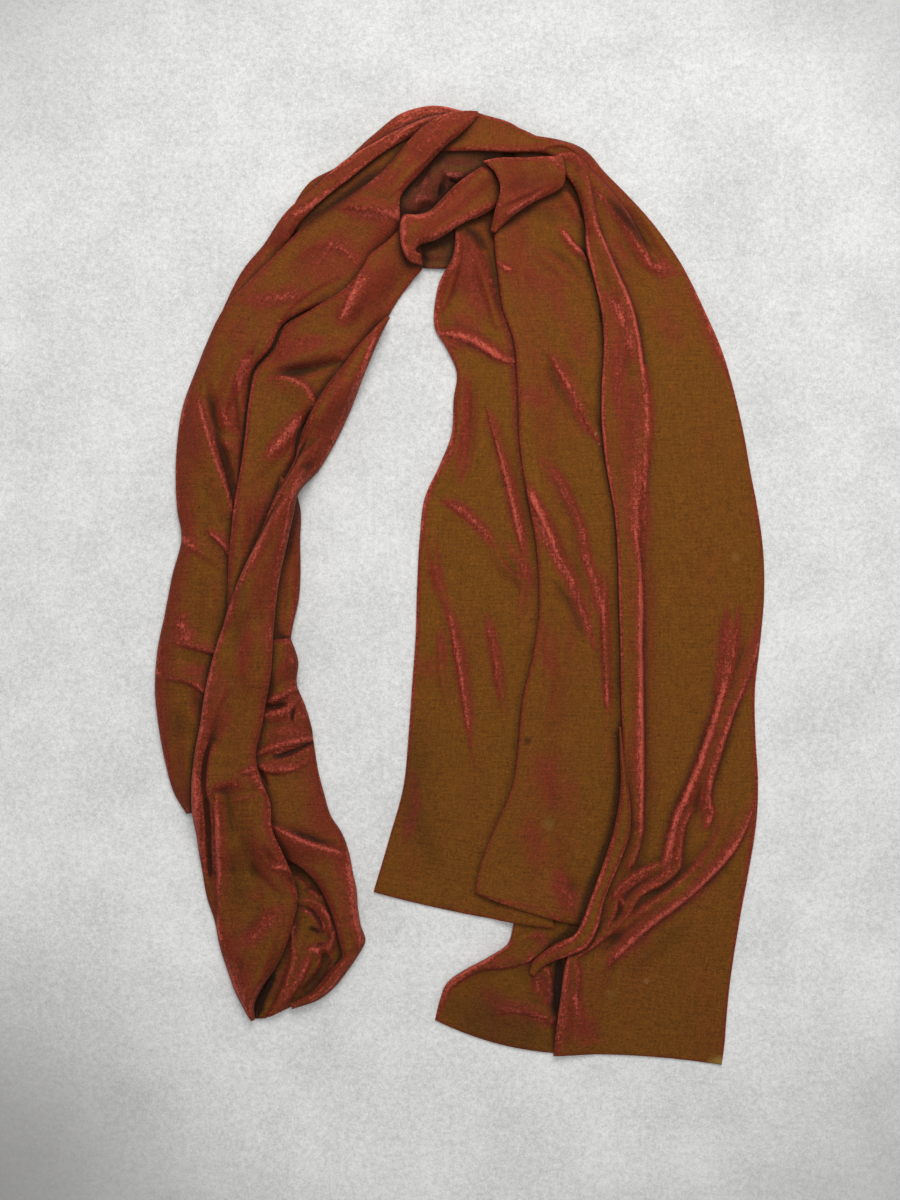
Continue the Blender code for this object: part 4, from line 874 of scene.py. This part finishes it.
# The left leg. The strip of doubled velvet goes down and back up in runs that are folded
# lengthwise and lie over each other, held by their weight. The pile is pressed along the folds
# and crushed where they turn at the bottom.
stretch("run_outer", VELVET, (
    (12, 325, 13, 323, 2.4, 2.4, 2.4),
    (6, 325.5, 10, 319, 3, 3, 3),
    (-8, 324, 1, 310, 5, 5, 5),
    (-22, 317.5, -9, 302, 6, 6, 6),
    (-34, 307.5, -20, 292, 6, 6, 6),
    (-45, 295, -30, 281.5, 6, 6, 6),
    (-60, 280, -41, 268, 7, 6, 6),
    (-82, 266, -42, 249, 4.5, 8, 4.5),
    (-102, 255, -48, 236, 4.5, 8, 4.5),
    (-117, 240, -59, 219, 4.5, 8, 4.5),
    (-132, 225, -79, 200, 4.5, 8, 5.5),
    (-149, 208, -105, 191.5, 4.5, 8, 5.5),
    (-163, 193, -123, 181, 3.5, 8, 5.5),
    (-175, 172, -131, 165, 3.5, 8, 5.5),
    (-185, 148, -144, 149, 3.5, 8, 3.5),
    (-193.5, 125, -148, 127, 3.5, 7, 3),
    (-197.5, 100, -151, 102, 3.5, 7, 3),
    (-198.5, 78, -152, 78, 4.5, 7, 3),
    (-197.2, 52, -149, 52, 4.5, 7, 3),
    (-194, 34, -149, 33, 4.5, 7, 3),
    (-200.5, 8, -150, 8, 4.5, 7, 3),
    (-206, -20, -151, -20, 4.5, 7, 3),
    (-211.5, -47, -158, -47, 4.5, 7, 3),
    (-213, -73, -164, -73, 4.5, 7, 3),
    (-210.5, -97, -168, -98, 4.5, 7, 3),
    (-206, -122, -172, -120, 3.5, 7, 3),
    (-199, -146, -175, -141, 3.5, 7, 3),
    (-191, -159, -180, -157, 3.5, 6, 3),
), folds=(
    (-84, 260, -64, 259.5, -42, 254, 0.8, 3.4, 2.4, 10, 2.6),
    (-44, 272, -24, 293, 9, 321, 1.2, 2.4, 1, 11, 3),
    (-115, 225, -92, 236, -69, 222, 0.3, 1.4, 0.3, 5, 5),
    (-131, 197, -119, 200, -105, 205, 0.6, 2.4, 0.6, 12, 9),
    (-143, 170, -153, 150, -161, 128, 1, 3.6, 2.6, 6, 10),
    (-161, 128, -163, 117, -157, 104, 2.6, 2.6, 0.4, 5, 8),
    (-155, 131, -153, 118, -151.5, 106, -0.5, -2, -1, 4, 3),
    (-181, 131, -173, 100, -158, 57, 0.5, 4.8, 3.5, 2.2, 16),
    (-177, 144, -172, 124, -167, 106, -0.5, -2.6, -2, 7, 4),
    (-168, 106, -162, 84, -156.5, 61, -2, -3.5, -2, 5, 4),
    (-167, 102, -160, 97, -152, 92, 0.2, 1.4, 0.6, 5, 5),
    (-187, 148, -183, 112, -172, 76, 1, 2.6, 1, 8, 14),
    (-172, 60, -170, 48, -166, 40, 0.2, 1.2, 0.2, 5, 5),
    (-176, 38, -166, 31, -158.5, 19, 0.3, 2.8, 3, 10, 2),
    (-194, 34, -181, 25, -164, 13, 1.5, 2.2, 0.8, 11, 5),
    (-176, 8, -172, -10, -176, -36, 0.4, 2, 0.4, 7, 9),
    (-195, -25, -191, -21, -184, -18, 0.3, 1.4, 0.3, 3, 3),
    (-197, -29, -193, -27, -190, -31, 0.3, 1.2, 0.3, 2.4, 2.4),
    (-197, -41, -193, -38, -189, -34, 0.6, 2, 0.5, 3.5, 2.5),
    (-211, -44, -202, -39, -193, -36, 0.6, 2, 0.6, 7, 5),
    (-195, -41, -184, -42, -169, -46.5, 0.8, 3.2, 3.4, 13, 2.2),
    (-205, -65, -190, -65, -175, -74, 0.6, 3.2, 3.4, 15, 2.6),
    (-186, -74, -182, -82, -182, -92, -0.3, -1.8, -0.3, 5, 5),
    (-196, -92, -196, -120, -192, -150, -0.5, -2, -1, 8, 8),
    (-212, -57, -210, -61, -206, -66, 0.3, 1.4, 0.3, 3, 3),
    (-189, 132, -193, 118, -197, 98, 0.5, 1.6, 0.5, 5, 3),
    (-84, 214, -110, 200, -124, 184, 1, 1.6, 1, 3.5, 7),
    (-125, 176, -133, 163, -143, 149, 1, 1.6, 1, 3.5, 7),
), pressed=(
    (4, -0.9, -116, 242, -98, 256, -80, 268, -66, 279, -52, 290, -38, 303),
    (5, -0.6, -166, 98, -155, 71), (4, -0.5, -152, 118, -153, 108), (8, -0.35, -194, -86, -196, -104),
    (3, -0.5, -115, 183, -102, 191, -90, 203), (6, 0.8, -37, 291, -20, 309, -10, 320, 10, 323),
    (5, 0.6, -67, 274, -42, 285), (3, 1, -80, 258, -60, 255, -43, 254, -41, 266),
    (8, 0.7, -110, 215, -86, 234, -70, 221), (5, 0.9, -148, 196, -128, 198, -107, 202),
    (7, 0.5, -115, 219, -72, 222), (3.5, 1.1, -155, 133, -150, 148, -144, 160),
    (4, 0.6, -162, 123, -160, 114, -156, 109), (6, 0.5, -150, 182, -158, 168),
    (3, 0.9, -190, 136, -195, 109), (2.5, 0.9, -182, 133, -174, 109, -158, 61),
    (3, 0.7, -197, 100, -199, 70, -195, 34), (3, 0.8, -195, 34, -182, 26),
    (2.5, 0.8, -174, 37, -159, 26), (3, 0.6, -201, 7, -207, -30),
    (6, 1, -194, -24, -190, -32, -187, -38), (5, 0.7, -210, -40, -211, -64),
    (3, 0.5, -184, -41, -169, -45), (3, 0.6, -184, -66, -174, -74),
    (2.5, 0.6, -211, -64, -208, -110, -201, -142), (4, 0.4, -190, -60, -176, -56),
), over=("hidden_arch", "hidden_leg", "arch_back", "arch_outer",
         "twist_inner", "tail_long"), crown=2.4)

stretch("run_middle", VELVET, (
    (-41.5, 247, -28, 238, 3, 4, 3),
    (-50, 239, -26, 222, 3, 4, 5),
    (-62.5, 229, -32, 214, 3, 4, 5),
    (-68, 219, -41, 203, 3, 4, 5),
    (-81, 204.5, -50, 188, 3, 7, 5),
    (-102, 191.5, -57, 174, 3, 7, 3),
    (-121, 181, -64, 161, 3, 8, 3),
    (-128.5, 165, -73, 148, 3, 8, 3),
    (-141.5, 149, -84, 138, 5, 8, 3),
    (-146, 129, -97, 125, 6, 9, 4),
    (-148.5, 106, -111.5, 108, 6, 9, 4),
    (-151.5, 82, -116, 84, 6, 8, 3),
    (-155, 60, -119, 61, 6, 8, 3),
    (-157.5, 38, -129, 38, 5, 7, 3),
    (-159.5, 16, -139, 16, 4, 7, 3),
    (-160.3, -1, -147, -2, 4, 6, 3),
    (-160.3, -16, -153, -17, 3, 6, 3),
), folds=(
    (-68, 215, -75, 196, -85, 179, 1, 3.8, 0.5, 11, 4),
    (-88, 205, -80, 208, -74, 213, -0.5, -2, -1.5, 5, 5),
    (-112, 166, -100, 167, -86, 169, 0.2, 1.4, 0.2, 7, 8),
    (-129, 150, -105, 158, -74, 166, 0.6, 2.6, 1, 13, 6),
    (-126, 148, -103, 150, -84, 155, -1, -3.4, -3, 4, 8),
    (-128, 143.5, -112, 140.5, -100, 127, 1.2, 4.4, 3.4, 2, 15),
    (-107, 124, -121, 103, -139, 80, 0.5, 3, 0.8, 8, 9),
    (-105, 117, -112, 100, -120, 84, 0.5, 1.6, 0.5, 3, 4),
    (-150, 60, -150, 42, -154, 22, 0.3, 1.6, 0.5, 7, 5),
    (-142, 149, -148, 118, -151, 92, 1, 1.6, 1, 7, 3),
), pressed=(
    (4, -0.7, -125, 150, -104, 152, -82, 156), (3, -0.8, -82, 155, -98, 131),
    (6, 0.8, -80, 196, -66, 210, -64, 218), (5, 0.9, -71, 212, -75, 198, -82, 182),
    (5, 0.6, -117, 187, -128, 160), (5, 0.7, -128, 160, -112, 166, -96, 168),
    (2.5, 0.8, -115, 141, -106, 139, -101, 131), (4.5, 1.1, -109, 120, -120, 104, -134, 88),
    (2, 0.6, -139, 150, -146, 128, -152, 88, -158, 18), (4, 0.5, -128, 63, -140, 45),
), over=("hidden_arch", "hidden_leg", "run_outer", "twist_under"), crown=2.4)

stretch("run_inner", VELVET, (
    (-124, 76, -114, 68, 3, 6, 3.5),
    (-127, 54, -110.6, 52, 3, 6, 4),
    (-129, 32, -111.4, 32, 3, 6, 4),
    (-133, 10, -111.3, 8, 3, 6, 4),
    (-135, -10, -112.5, -10, 3, 6, 4),
    (-137, -28, -116, -26, 3, 6, 4),
    (-138, -46, -118.5, -40, 3, 7, 3.5),
    (-137, -62, -120.5, -48.5, 3, 6, 3.5),
), folds=(
    (-116, 14, -116, -14, -119, -44, 0, 2.2, 2.2, 8.6, 4.4),
), pressed=(
    (1.8, 0.9, -50, 193, -69, 141, -80, 115, -98, 82), (2.6, 0.5, -80, 144, -90, 123),
), over=("hidden_leg", "run_middle"), rim=4, crown=2.2)

stretch("bight_inner", VELVET, (
    (-126, -180, -100, -178, 4, 4, 4),
    (-126, -196, -90, -192, 4, 4, 4),
    (-124, -214, -82, -210, 4, 4, 4),
    (-124, -232, -77, -228, 4, 4, 4),
    (-128, -248, -73, -246, 4, 4, 4),
    (-133, -262, -78, -262, 4, 5, 4),
    (-139, -275, -88, -276, 4, 6, 4),
    (-144.5, -286, -103, -287, 5, 6, 4),
    (-147, -295, -119, -294.5, 5, 6, 5),
    (-145.5, -302.5, -136, -302, 5, 5, 5),
), folds=(
    (-112, -219, -97, -223, -90.5, -238, 1, 2.6, 3, 2.8, 7),
    (-90.5, -238, -91.5, -251, -108, -254, 3, 2.6, 0.8, 7, 3),
    (-113, -223, -101, -229.5, -96, -242, -0.8, -1.8, -1, 2, 2.6),
    (-110, -229, -114, -244, -111, -259, -0.5, -1.8, -0.8, 2, 3),
    (-118, -196, -107, -202, -98, -212, -3, -5, -3, 5, 6),
    (-117, -240, -117, -266, -131, -298, 1.5, 4.6, 4, 8, 4),
    (-104, -257, -111, -273, -125, -294, 1.5, 4, 3, 3.4, 8),
    (-97, -252, -95, -266, -108, -282, -2, -4, -2, 5, 5),
    (-133, -270, -140.5, -285, -144, -301, -3, -7, -5, 3, 3),
    (-108, -212, -102, -214, -96, -220, 0.5, 2, 1, 4, 4),
), pressed=(
    (4, -0.8, -117, -194, -107, -206), (2.2, -1.2, -105, -238, -97, -242),
    (1.8, -0.9, -110, -212, -101, -211, -94, -216), (3.5, -0.8, -87, -259, -100, -271, -114, -287),
    (3.6, -2.4, -143, -302, -139, -288, -129, -266), (4, -0.5, -84, -236, -88, -256),
    (1.8, 0.9, -104, -222, -93, -228, -87.5, -236, -88, -245, -93, -254),
    (1.6, 0.9, -113, -225, -99, -230, -95, -237, -101, -244),
    (2.6, 1, -107, -252, -100, -253, -94, -250), (2.4, 0.8, -106, -257, -112, -271, -126, -292),
    (2, 0.7, -114, -229, -119, -250, -122, -268, -134, -290),
), rim=4, crown=2.5)

stretch("run_return", VELVET, (
    (-137, -38, -117, -36, 3.5, 6, 3.5),
    (-140, -54, -112.3, -52, 3.5, 6, 4),
    (-142, -68, -113.5, -68, 3.5, 6, 4),
    (-146, -84, -108, -83, 3.5, 7, 4),
    (-148, -99, -103.6, -98, 3.5, 7, 4),
    (-150, -114, -101.4, -113, 3.5, 7, 4),
    (-150, -128, -98.8, -129, 3.5, 7, 4),
    (-144, -144, -94.6, -145, 3.5, 8, 5),
    (-140, -160, -90, -160, 3.5, 9, 6),
    (-133, -174, -82, -173, 3.5, 10, 6),
    (-124, -187, -77, -187, 4.5, 10, 6),
    (-110, -196, -74.5, -200, 6.5, 10, 6),
    (-99.5, -207, -72, -211, 6, 9, 5),
    (-92.5, -220, -71, -224, 6, 9, 5),
    (-87.5, -233, -69, -236, 6, 9, 5),
    (-84, -247, -66, -248, 5, 8, 5),
    (-82, -258, -72, -259, 4, 7, 4),
    (-88, -265, -79, -269, 3, 6, 3),
    (-94.5, -273, -86, -278, 3, 6, 3),
    (-102, -281.5, -96.5, -287, 3, 5, 3),
    (-118, -290.5, -117, -294.5, 3, 4, 3),
), folds=(
    (-131, -74, -122, -70, -114, -66, 0.5, 2, 1.5, 3, 5),
    (-132, -80, -124, -76, -113.5, -71, 1.5, 4, 3, 6, 2.4),
    (-136, -84, -129, -83.5, -120, -82, -4, -4.5, -1, 2.4, 2.4),
    (-135, -88.5, -126, -87, -118, -82, 2, 4, 3, 2, 9),
    (-118, -82, -116, -79, -113, -77, 3, 2.5, 1, 3, 4),
    (-114, -84, -116, -88, -116, -93, -1.5, -3.5, -2, 2, 2),
    (-113, -86, -110, -91, -108, -97, 0.5, 2, 0.5, 4, 3),
    (-134, -104, -122, -101, -107, -103, 0.5, 2, 1, 6, 7),
    (-139, -117, -124, -110, -103, -106.5, 2, 4.5, 3.5, 5, 2.2),
    (-128, -118, -116, -114.5, -104, -109, -1.5, -3.5, -1.5, 2.2, 3.5),
    (-141, -123, -126, -128, -106, -122, 1.5, 3.5, 1, 9, 2.6),
    (-142, -126, -138, -131, -134, -137, -2, -3, -1, 4, 4),
    (-131, -165, -108, -176, -82, -184.5, 1.5, 4, 1.5, 2.6, 16),
    (-120, -166, -104, -174, -88, -179, -0.5, -2.5, -1, 7, 4),
    (-76, -196, -75, -218, -70, -246, 1, 2, 2.5, 7, 8),
    (-80, -262, -90, -276, -104, -287, 0.5, 1.5, 0.5, 4, 5),
    (-100, -196, -86, -220, -80, -250, 0.5, 1.5, 1, 8, 6),
), pressed=(
    (2.2, 0.85, -131, -79, -114, -75), (2.6, 0.8, -112, -75, -108, -84, -104, -94),
    (6, 0.35, -132, -87, -114, -89), (6, 0.5, -131, -103, -105, -105),
    (2, 0.9, -135, -117, -118, -110, -103, -108), (2.4, 0.6, -138, -124, -112, -126),
    (3, 0.5, -103, -112, -95, -142, -84, -168), (2.5, 0.8, -128, -166, -107, -176, -79, -187),
    (7, 1, -78, -182, -72, -215, -68, -245), (2, 0.7, -75, -252, -89, -278, -112, -292),
    (2.5, 0.6, -110, -20, -112, -48), (2, 0.6, -125, -60, -112, -48),
), over=("hidden_leg", "run_inner", "bight_inner"), crown=2.2)

stretch("run_front", VELVET, (
    (-51, 187.5, -48.5, 186.5, 3.5, 3, 3.5),
    (-60.5, 177, -55.5, 172, 3.5, 5, 3.5),
    (-71.5, 164.5, -60.5, 160, 3.5, 6, 4),
    (-81, 152, -65.5, 148, 3.5, 7, 5),
    (-91.5, 139, -72, 132, 3.5, 9.5, 5),
    (-102, 121, -80, 114, 3.5, 9.5, 5),
    (-110.5, 103.5, -88, 98, 3.5, 9.5, 5),
    (-115.5, 84, -98, 81, 3.5, 9.5, 5),
    (-126, 63, -111, 63, 3.5, 9.5, 5),
    (-133, 47, -114.7, 47, 4.5, 9.5, 5),
    (-140, 30, -118.7, 30, 4.5, 9.5, 5),
    (-148, 13, -123, 13, 4.5, 9.5, 5),
    (-155, -4, -126, -4, 4.5, 9.5, 5),
    (-161.5, -23, -128, -23, 4.5, 9.5, 5),
    (-168, -43, -128.5, -43, 4.5, 9.5, 5),
    (-173, -62, -130, -62, 4.5, 9.5, 5),
    (-176.5, -80, -133.5, -80, 4.5, 9.5, 4),
    (-179.5, -98, -136.7, -98, 4.5, 9.5, 4),
    (-183, -117, -140.5, -117, 4.5, 9.5, 4),
    (-185, -134, -137, -133.5, 4.5, 9.5, 4),
    (-185.5, -150, -131, -149, 4.5, 9.5, 4),
    (-184.5, -167, -129.5, -167, 4.5, 9.5, 4),
    (-182.3, -184, -122.5, -184, 4.5, 9.5, 4),
    (-179.7, -201, -116.5, -201, 4.5, 9.5, 4),
    (-177, -217, -113, -217, 4.5, 9.5, 4),
    (-171.5, -234, -116, -234, 4.5, 10.5, 5),
    (-168, -251, -121, -250, 5.5, 11.5, 5),
    (-163, -267, -128.5, -266, 5.5, 11.5, 5),
    (-157, -283, -138, -280, 5.5, 10.5, 4),
    (-150.5, -295, -143.2, -292, 3.5, 7, 3.5),
    (-145.5, -303, -142.7, -302, 3.5, 5, 3.5),
), folds=(
    (-122, 61, -137, 36, -152, 5, -2, -3.5, -1.5, 1.8, 1.8),
    (-111, 68, -132, 39, -154, -2, 1, 2.8, 1.5, 8, 2),
    (-107, 101, -113, 87, -124, 66, -1, -4.5, -3, 2.6, 2.6),
    (-96, 101, -104, 93, -112, 88, 0.5, 2.8, 2, 9, 2.5),
    (-88, 97, -97, 84, -107, 72, 0, 1.4, 0.5, 3, 3),
    (-70, 148, -78, 124, -90, 102, 0, 1.6, 0.5, 5, 9),
    (-166, -38, -173, -66, -178, -98, 1, 3, 3.5, 10, 5),
    (-178, -98, -182, -124, -182, -160, 3.5, 3.5, 2.5, 5, 5),
    (-182, -160, -180, -186, -178, -214, 2.5, 2, 0, 5, 5),
    (-156, -70, -164, -86, -171, -106, -0.3, -1.6, -4, 9, 4),
    (-171, -106, -176, -127, -175, -150, -4, -5, -5, 3.6, 2.8),
    (-175, -150, -174.5, -178, -175, -206, -5, -4, -0.5, 4, 2.8),
    (-176, -146, -164, -135, -149, -138, 2, 2.6, 1, 13, 5),
    (-153, -129, -147, -127.5, -141, -125, 0.5, 2, 1.5, 3, 2),
    (-157, -148, -149, -145.5, -139, -143, 0.4, 1.4, 0.5, 2, 4),
    (-150, -134, -139, -136, -132, -146, 0.5, 2, 1, 5, 7),
    (-168, -149, -167.2, -195, -168.5, -242, 3, 4, 2, 10, 2.4),
    (-141, -190, -129, -204, -116, -213, 0.5, 2.4, 1, 9, 6),
    (-132, -195.5, -126, -194, -119, -196.5, 0.5, 1.8, 0.5, 2.4, 3),
    (-136, -178, -132, -187, -125, -192, -0.5, -1.8, -0.5, 5, 5),
    (-164, -254, -146, -248, -126, -226, 1, 3, 1, 10, 14),
    (-160, -254, -157.5, -262, -154, -271, 0.5, 1.6, 0.5, 3, 3),
    (-150, -250, -149, -258, -150, -266, 0.4, 1.2, 0.4, 3, 3),
    (-128, -238, -137, -266, -143.5, -294, 1, 3, 2, 7, 14),
    (-145, -219, -142, -217.5, -139, -217, 0.2, 0.7, 0.2, 1.8, 1.8),
    (-171, -72, -168, -73, -165, -72, 0.3, 1, 0.3, 1.8, 1.8),
    (-175, -84, -172, -85, -170, -82, 0.3, 1, 0.3, 1.8, 1.8),
), pressed=(
    (9, -0.3, -154, -184, -152, -226), (5, -0.3, -147, 2, -154, -45), (5, -0.3, -150, -170, -146, -190),
    (1.8, 0.9, -54, 190, -69, 141, -80, 115, -98, 82), (2.6, 0.5, -80, 144, -90, 123),
    (2.5, 0.8, -98, 98, -117, 61, -131, 39, -152, -4), (3, 0.6, -117, 55, -125, 7, -127, -40),
    (2.5, 0.8, -152, -4, -163, -30, -169, -49), (8, 0.75, -169, -49, -177, -80, -180, -112),
    (4, 0.9, -181, -126, -183, -160, -182, -192), (3, 1, -167, -150, -168, -180, -169, -215),
    (4, 0.6, -168, -140, -147, -133), (4, 0.8, -147, -126, -138, -132, -133, -143),
    (3, 0.6, -129, -126, -131, -164, -119, -190, -114, -215), (4, 0.8, -131, -192, -117, -196),
    (7, 0.7, -126, -224, -147, -248), (10, 0.9, -166, -255, -158, -276, -147, -294),
    (4, 0.7, -169, -229, -163, -257), (5, 0.4, -159, -84, -168, -103), (3, 0.5, -145, -20, -150, -60),
    (4, 0.4, -138, -215, -150, -214),
), over=("hidden_leg", "run_outer", "run_middle", "run_inner",
         "bight_inner", "run_return"), crown=2.2)

# Outside of the twist. A strap and a cuff of the same velvet are wound over the runs and tucked
# in between them, and so hold the scarf together at the top of the arch.
stretch("twist_strap", VELVET, (
    (-26, 221.5, -27.5, 228.5, 4, 4, 4),
    (-35.5, 224, -30.5, 231, 5, 6, 4),
    (-41, 237, -28, 234.5, 6, 7, 5),
    (-39, 255.5, -23, 236.5, 7, 8, 6),
    (-31, 256, -18, 238.5, 7, 9, 7),
    (-22, 259, -11, 242.5, 7, 9, 7),
    (-13, 268, -3, 247.5, 7, 9, 7),
    (-3, 277.5, 5, 252, 7, 9, 7),
    (7, 284.5, 13, 255.5, 7, 9, 6),
    (17, 290, 24, 262, 6, 7, 5),
    (25, 292, 33, 268, 4, 5, 4),
), folds=(
    (-35, 241, -6, 262, 19, 282, 1.2, 2.2, 1, 9, 8),
    (-20, 240, 0, 250, 20, 262, 0.4, 1.4, 0.4, 6, 3),
), pressed=(
    (2.4, 0.85, -38, 256, -40, 234, -32, 223), (3, 0.9, -38, 254, -28, 254, -20, 259),
    (3, 0.9, -24, 234, 0, 248, 22, 258), (3, 0.5, 11, 288, -10, 269), (8, 0.35, -24, 250, 6, 270),
), over=("hidden_arch", "twist_inner", "twist_under", "run_outer",
         "run_middle", "tail_short_lower", "tail_short_upper"), rim=5)

stretch("twist_cuff", VELVET, (
    (21, 246, 24, 244.5, 3, 4, 3),
    (24, 259, 38, 257, 5, 5, 3.5),
    (27.5, 273, 52, 266.5, 6, 5, 3),
    (24, 283, 71, 276.5, 6, 5, 1.2),
    (15.5, 291.5, 71, 295, 6, 5, 1.2, 3),
), folds=(
    (28, 262, 40, 268, 55, 276, 0.4, 1.6, 0.4, 4, 3),
    (27, 254, 38, 261, 52, 269, 0.4, 1.2, 0.4, 3, 3),
), pressed=(
    (5, -0.3, 32, 274, 56, 280), (2.2, 0.9, 11, 289, 27, 296, 60, 297, 73, 285),
    (3, 0.8, 27, 253, 44, 264, 64, 277), (7, 0.4, 26, 262, 40, 272, 58, 278),
    (3, 0.7, 14, 291, 22, 280, 26, 266),
), over=("hidden_arch", "twist_strap", "tail_short_upper", "tail_long", "twist_inner"), rim=4)

# Painted shade between the layers: the colour darkens beside the edge of a layer that lies
# higher, and softly where folds lie close together, as in the twist and down the left leg.
SHADE_REACH = 1       # how far from the edge, in cells of the map
SHADE_FROM, SHADE_FULL = 1.0, 9.0     # how much higher the layer beside it lies
SOFT_REACH = (4, 3)   # how far around the soft shade goes
SOFT_FROM, SOFT_OVER = 0.3, 3.8       # how much higher the cloth around lies
DEEPEST = 0.78        # strength of the deepest shade
highest = np.max(list(tops.values()), axis=0)
beside = spread(spread(highest, SHADE_REACH, np.max), 1, np.mean)
around = spread(spread(highest, SOFT_REACH[0], np.mean), SOFT_REACH[1], np.mean)
for name in tops:
    data = bpy.data.meshes["cloth_" + name]
    place = np.empty(3 * len(data.vertices))
    data.vertices.foreach_get("co", place)
    x, y, height = place.reshape(-1, 3).T / MM
    lower = np.maximum((sampled(beside, x, y) - height - SHADE_FROM) / (SHADE_FULL - SHADE_FROM),
                       (sampled(around, x, y) - height - SOFT_FROM) / SOFT_OVER)
    layer = data.attributes.new("shade", "FLOAT", "POINT")
    layer.data.foreach_set("value", np.clip(lower, 0, DEEPEST))

# The surface that the scarf lies on: a pale slab of concrete, cast and floated smooth, mottled
# with clouds, grains and specks. It is in shadow towards its near left corner and its sides.
SLAB = 3.0            # side of the slab in metres
SLAB_TOP = -0.0003    # just under the cloth
MOTTLE = (0.295, 0.605)               # how the three noises part the grey from the pale
GREY, PALE = (0.43, 0.435, 0.425, 1.0), (0.81, 0.81, 0.80, 1.0)
CORNER, CORNER_REACH = (-0.36, -0.44, 0.0), (0.02, 0.26)  # metres, from full shadow to none
CORNER_SHARE, CORNER_GREY = 0.75, (0.24, 0.23, 0.215, 1.0)
SIDES, SIDE_SHARE = (0.39, 0.56), 0.5                     # metres from the middle
SIDE_GREY = (0.30, 0.30, 0.29, 1.0)
mesh = bmesh.new()
bmesh.ops.create_grid(mesh, x_segments=1, y_segments=1, size=SLAB / 2,
                      matrix=Matrix.Translation((0, 0, SLAB_TOP)))
slab = bpy.data.meshes.new("slab")
mesh.to_mesh(slab)
mesh.free()
concrete = bpy.data.materials.new("concrete")
concrete.use_nodes = True
tree = concrete.node_tree
spot = node(tree, "TexCoord", {}, out=3)
cloud = noise(spot, scale=13.0, detail=6.0, roughness=0.7)
grain = noise(spot, scale=260.0, detail=8.0, roughness=0.85)
speck = noise(spot, scale=900.0, detail=3.0, roughness=0.7)
share = plus(plus(times(cloud, 0.22), grain, 0.45), speck, 0.25)
tone = mixed(eased(share, *MOTTLE), GREY, PALE)
corner = vector("DISTANCE", spot, CORNER, out=1)
tone = mixed(eased(corner, *CORNER_REACH), mixed(CORNER_SHARE, tone, CORNER_GREY), tone)
away = node(tree, "VectorMath", {0: spot}, out=1, operation="LENGTH")
tone = mixed(times(eased(away, *SIDES), SIDE_SHARE), tone, SIDE_GREY)
bump = node(tree, "Bump", {"Strength": 0.25, "Distance": 0.001, "Height": grain})
shader = tree.nodes["Principled BSDF"]
for socket, value in (("Base Color", tone), ("Normal", bump), ("Roughness", 0.85)):
    fill(tree, shader.inputs[socket], value)
slab.materials.append(concrete)
floor = bpy.data.objects.new("floor", slab)
bpy.context.scene.collection.objects.link(floor)

# Soft daylight: a wide window beyond the arch, a ceiling that throws light back from above, and
# a pale sky all round. The camera looks straight down.
SKY, SKY_POWER = (0.93, 0.96, 1.0, 1.0), 0.36
DAYLIGHT = (1.0, 0.985, 0.96)
# name, place, side and power
LAMPS = (("window", (0.12, 0.95, 1.45), 0.9, 18.5),
         ("ceiling", (0.15, -0.05, 1.9), 1.0, 12.0))
world = bpy.data.worlds.new("studio")
world.use_nodes = True
background = world.node_tree.nodes["Background"]
background.inputs["Color"].default_value = SKY
background.inputs["Strength"].default_value = SKY_POWER
bpy.context.scene.world = world
for name, place, size, power in LAMPS:
    lamp = bpy.data.lights.new(name, "AREA")
    lamp.size = size
    lamp.energy = power
    lamp.color = DAYLIGHT
    light = bpy.data.objects.new(name, lamp)
    light.location = place
    light.rotation_euler = (-Vector(place)).to_track_quat("-Z", "Y").to_euler()
    bpy.context.scene.collection.objects.link(light)
bpy.context.scene.view_settings.view_transform = "Standard"

CAMERA = (-0.007, -0.0098, 1.2)       # metres
LENS, SENSOR = 51.43, 36.0            # millimetres
eye = bpy.data.cameras.new("camera")
eye.lens = LENS
eye.sensor_width = SENSOR
camera = bpy.data.objects.new("camera", eye)
camera.location = CAMERA
bpy.context.scene.collection.objects.link(camera)
bpy.context.scene.camera = camera
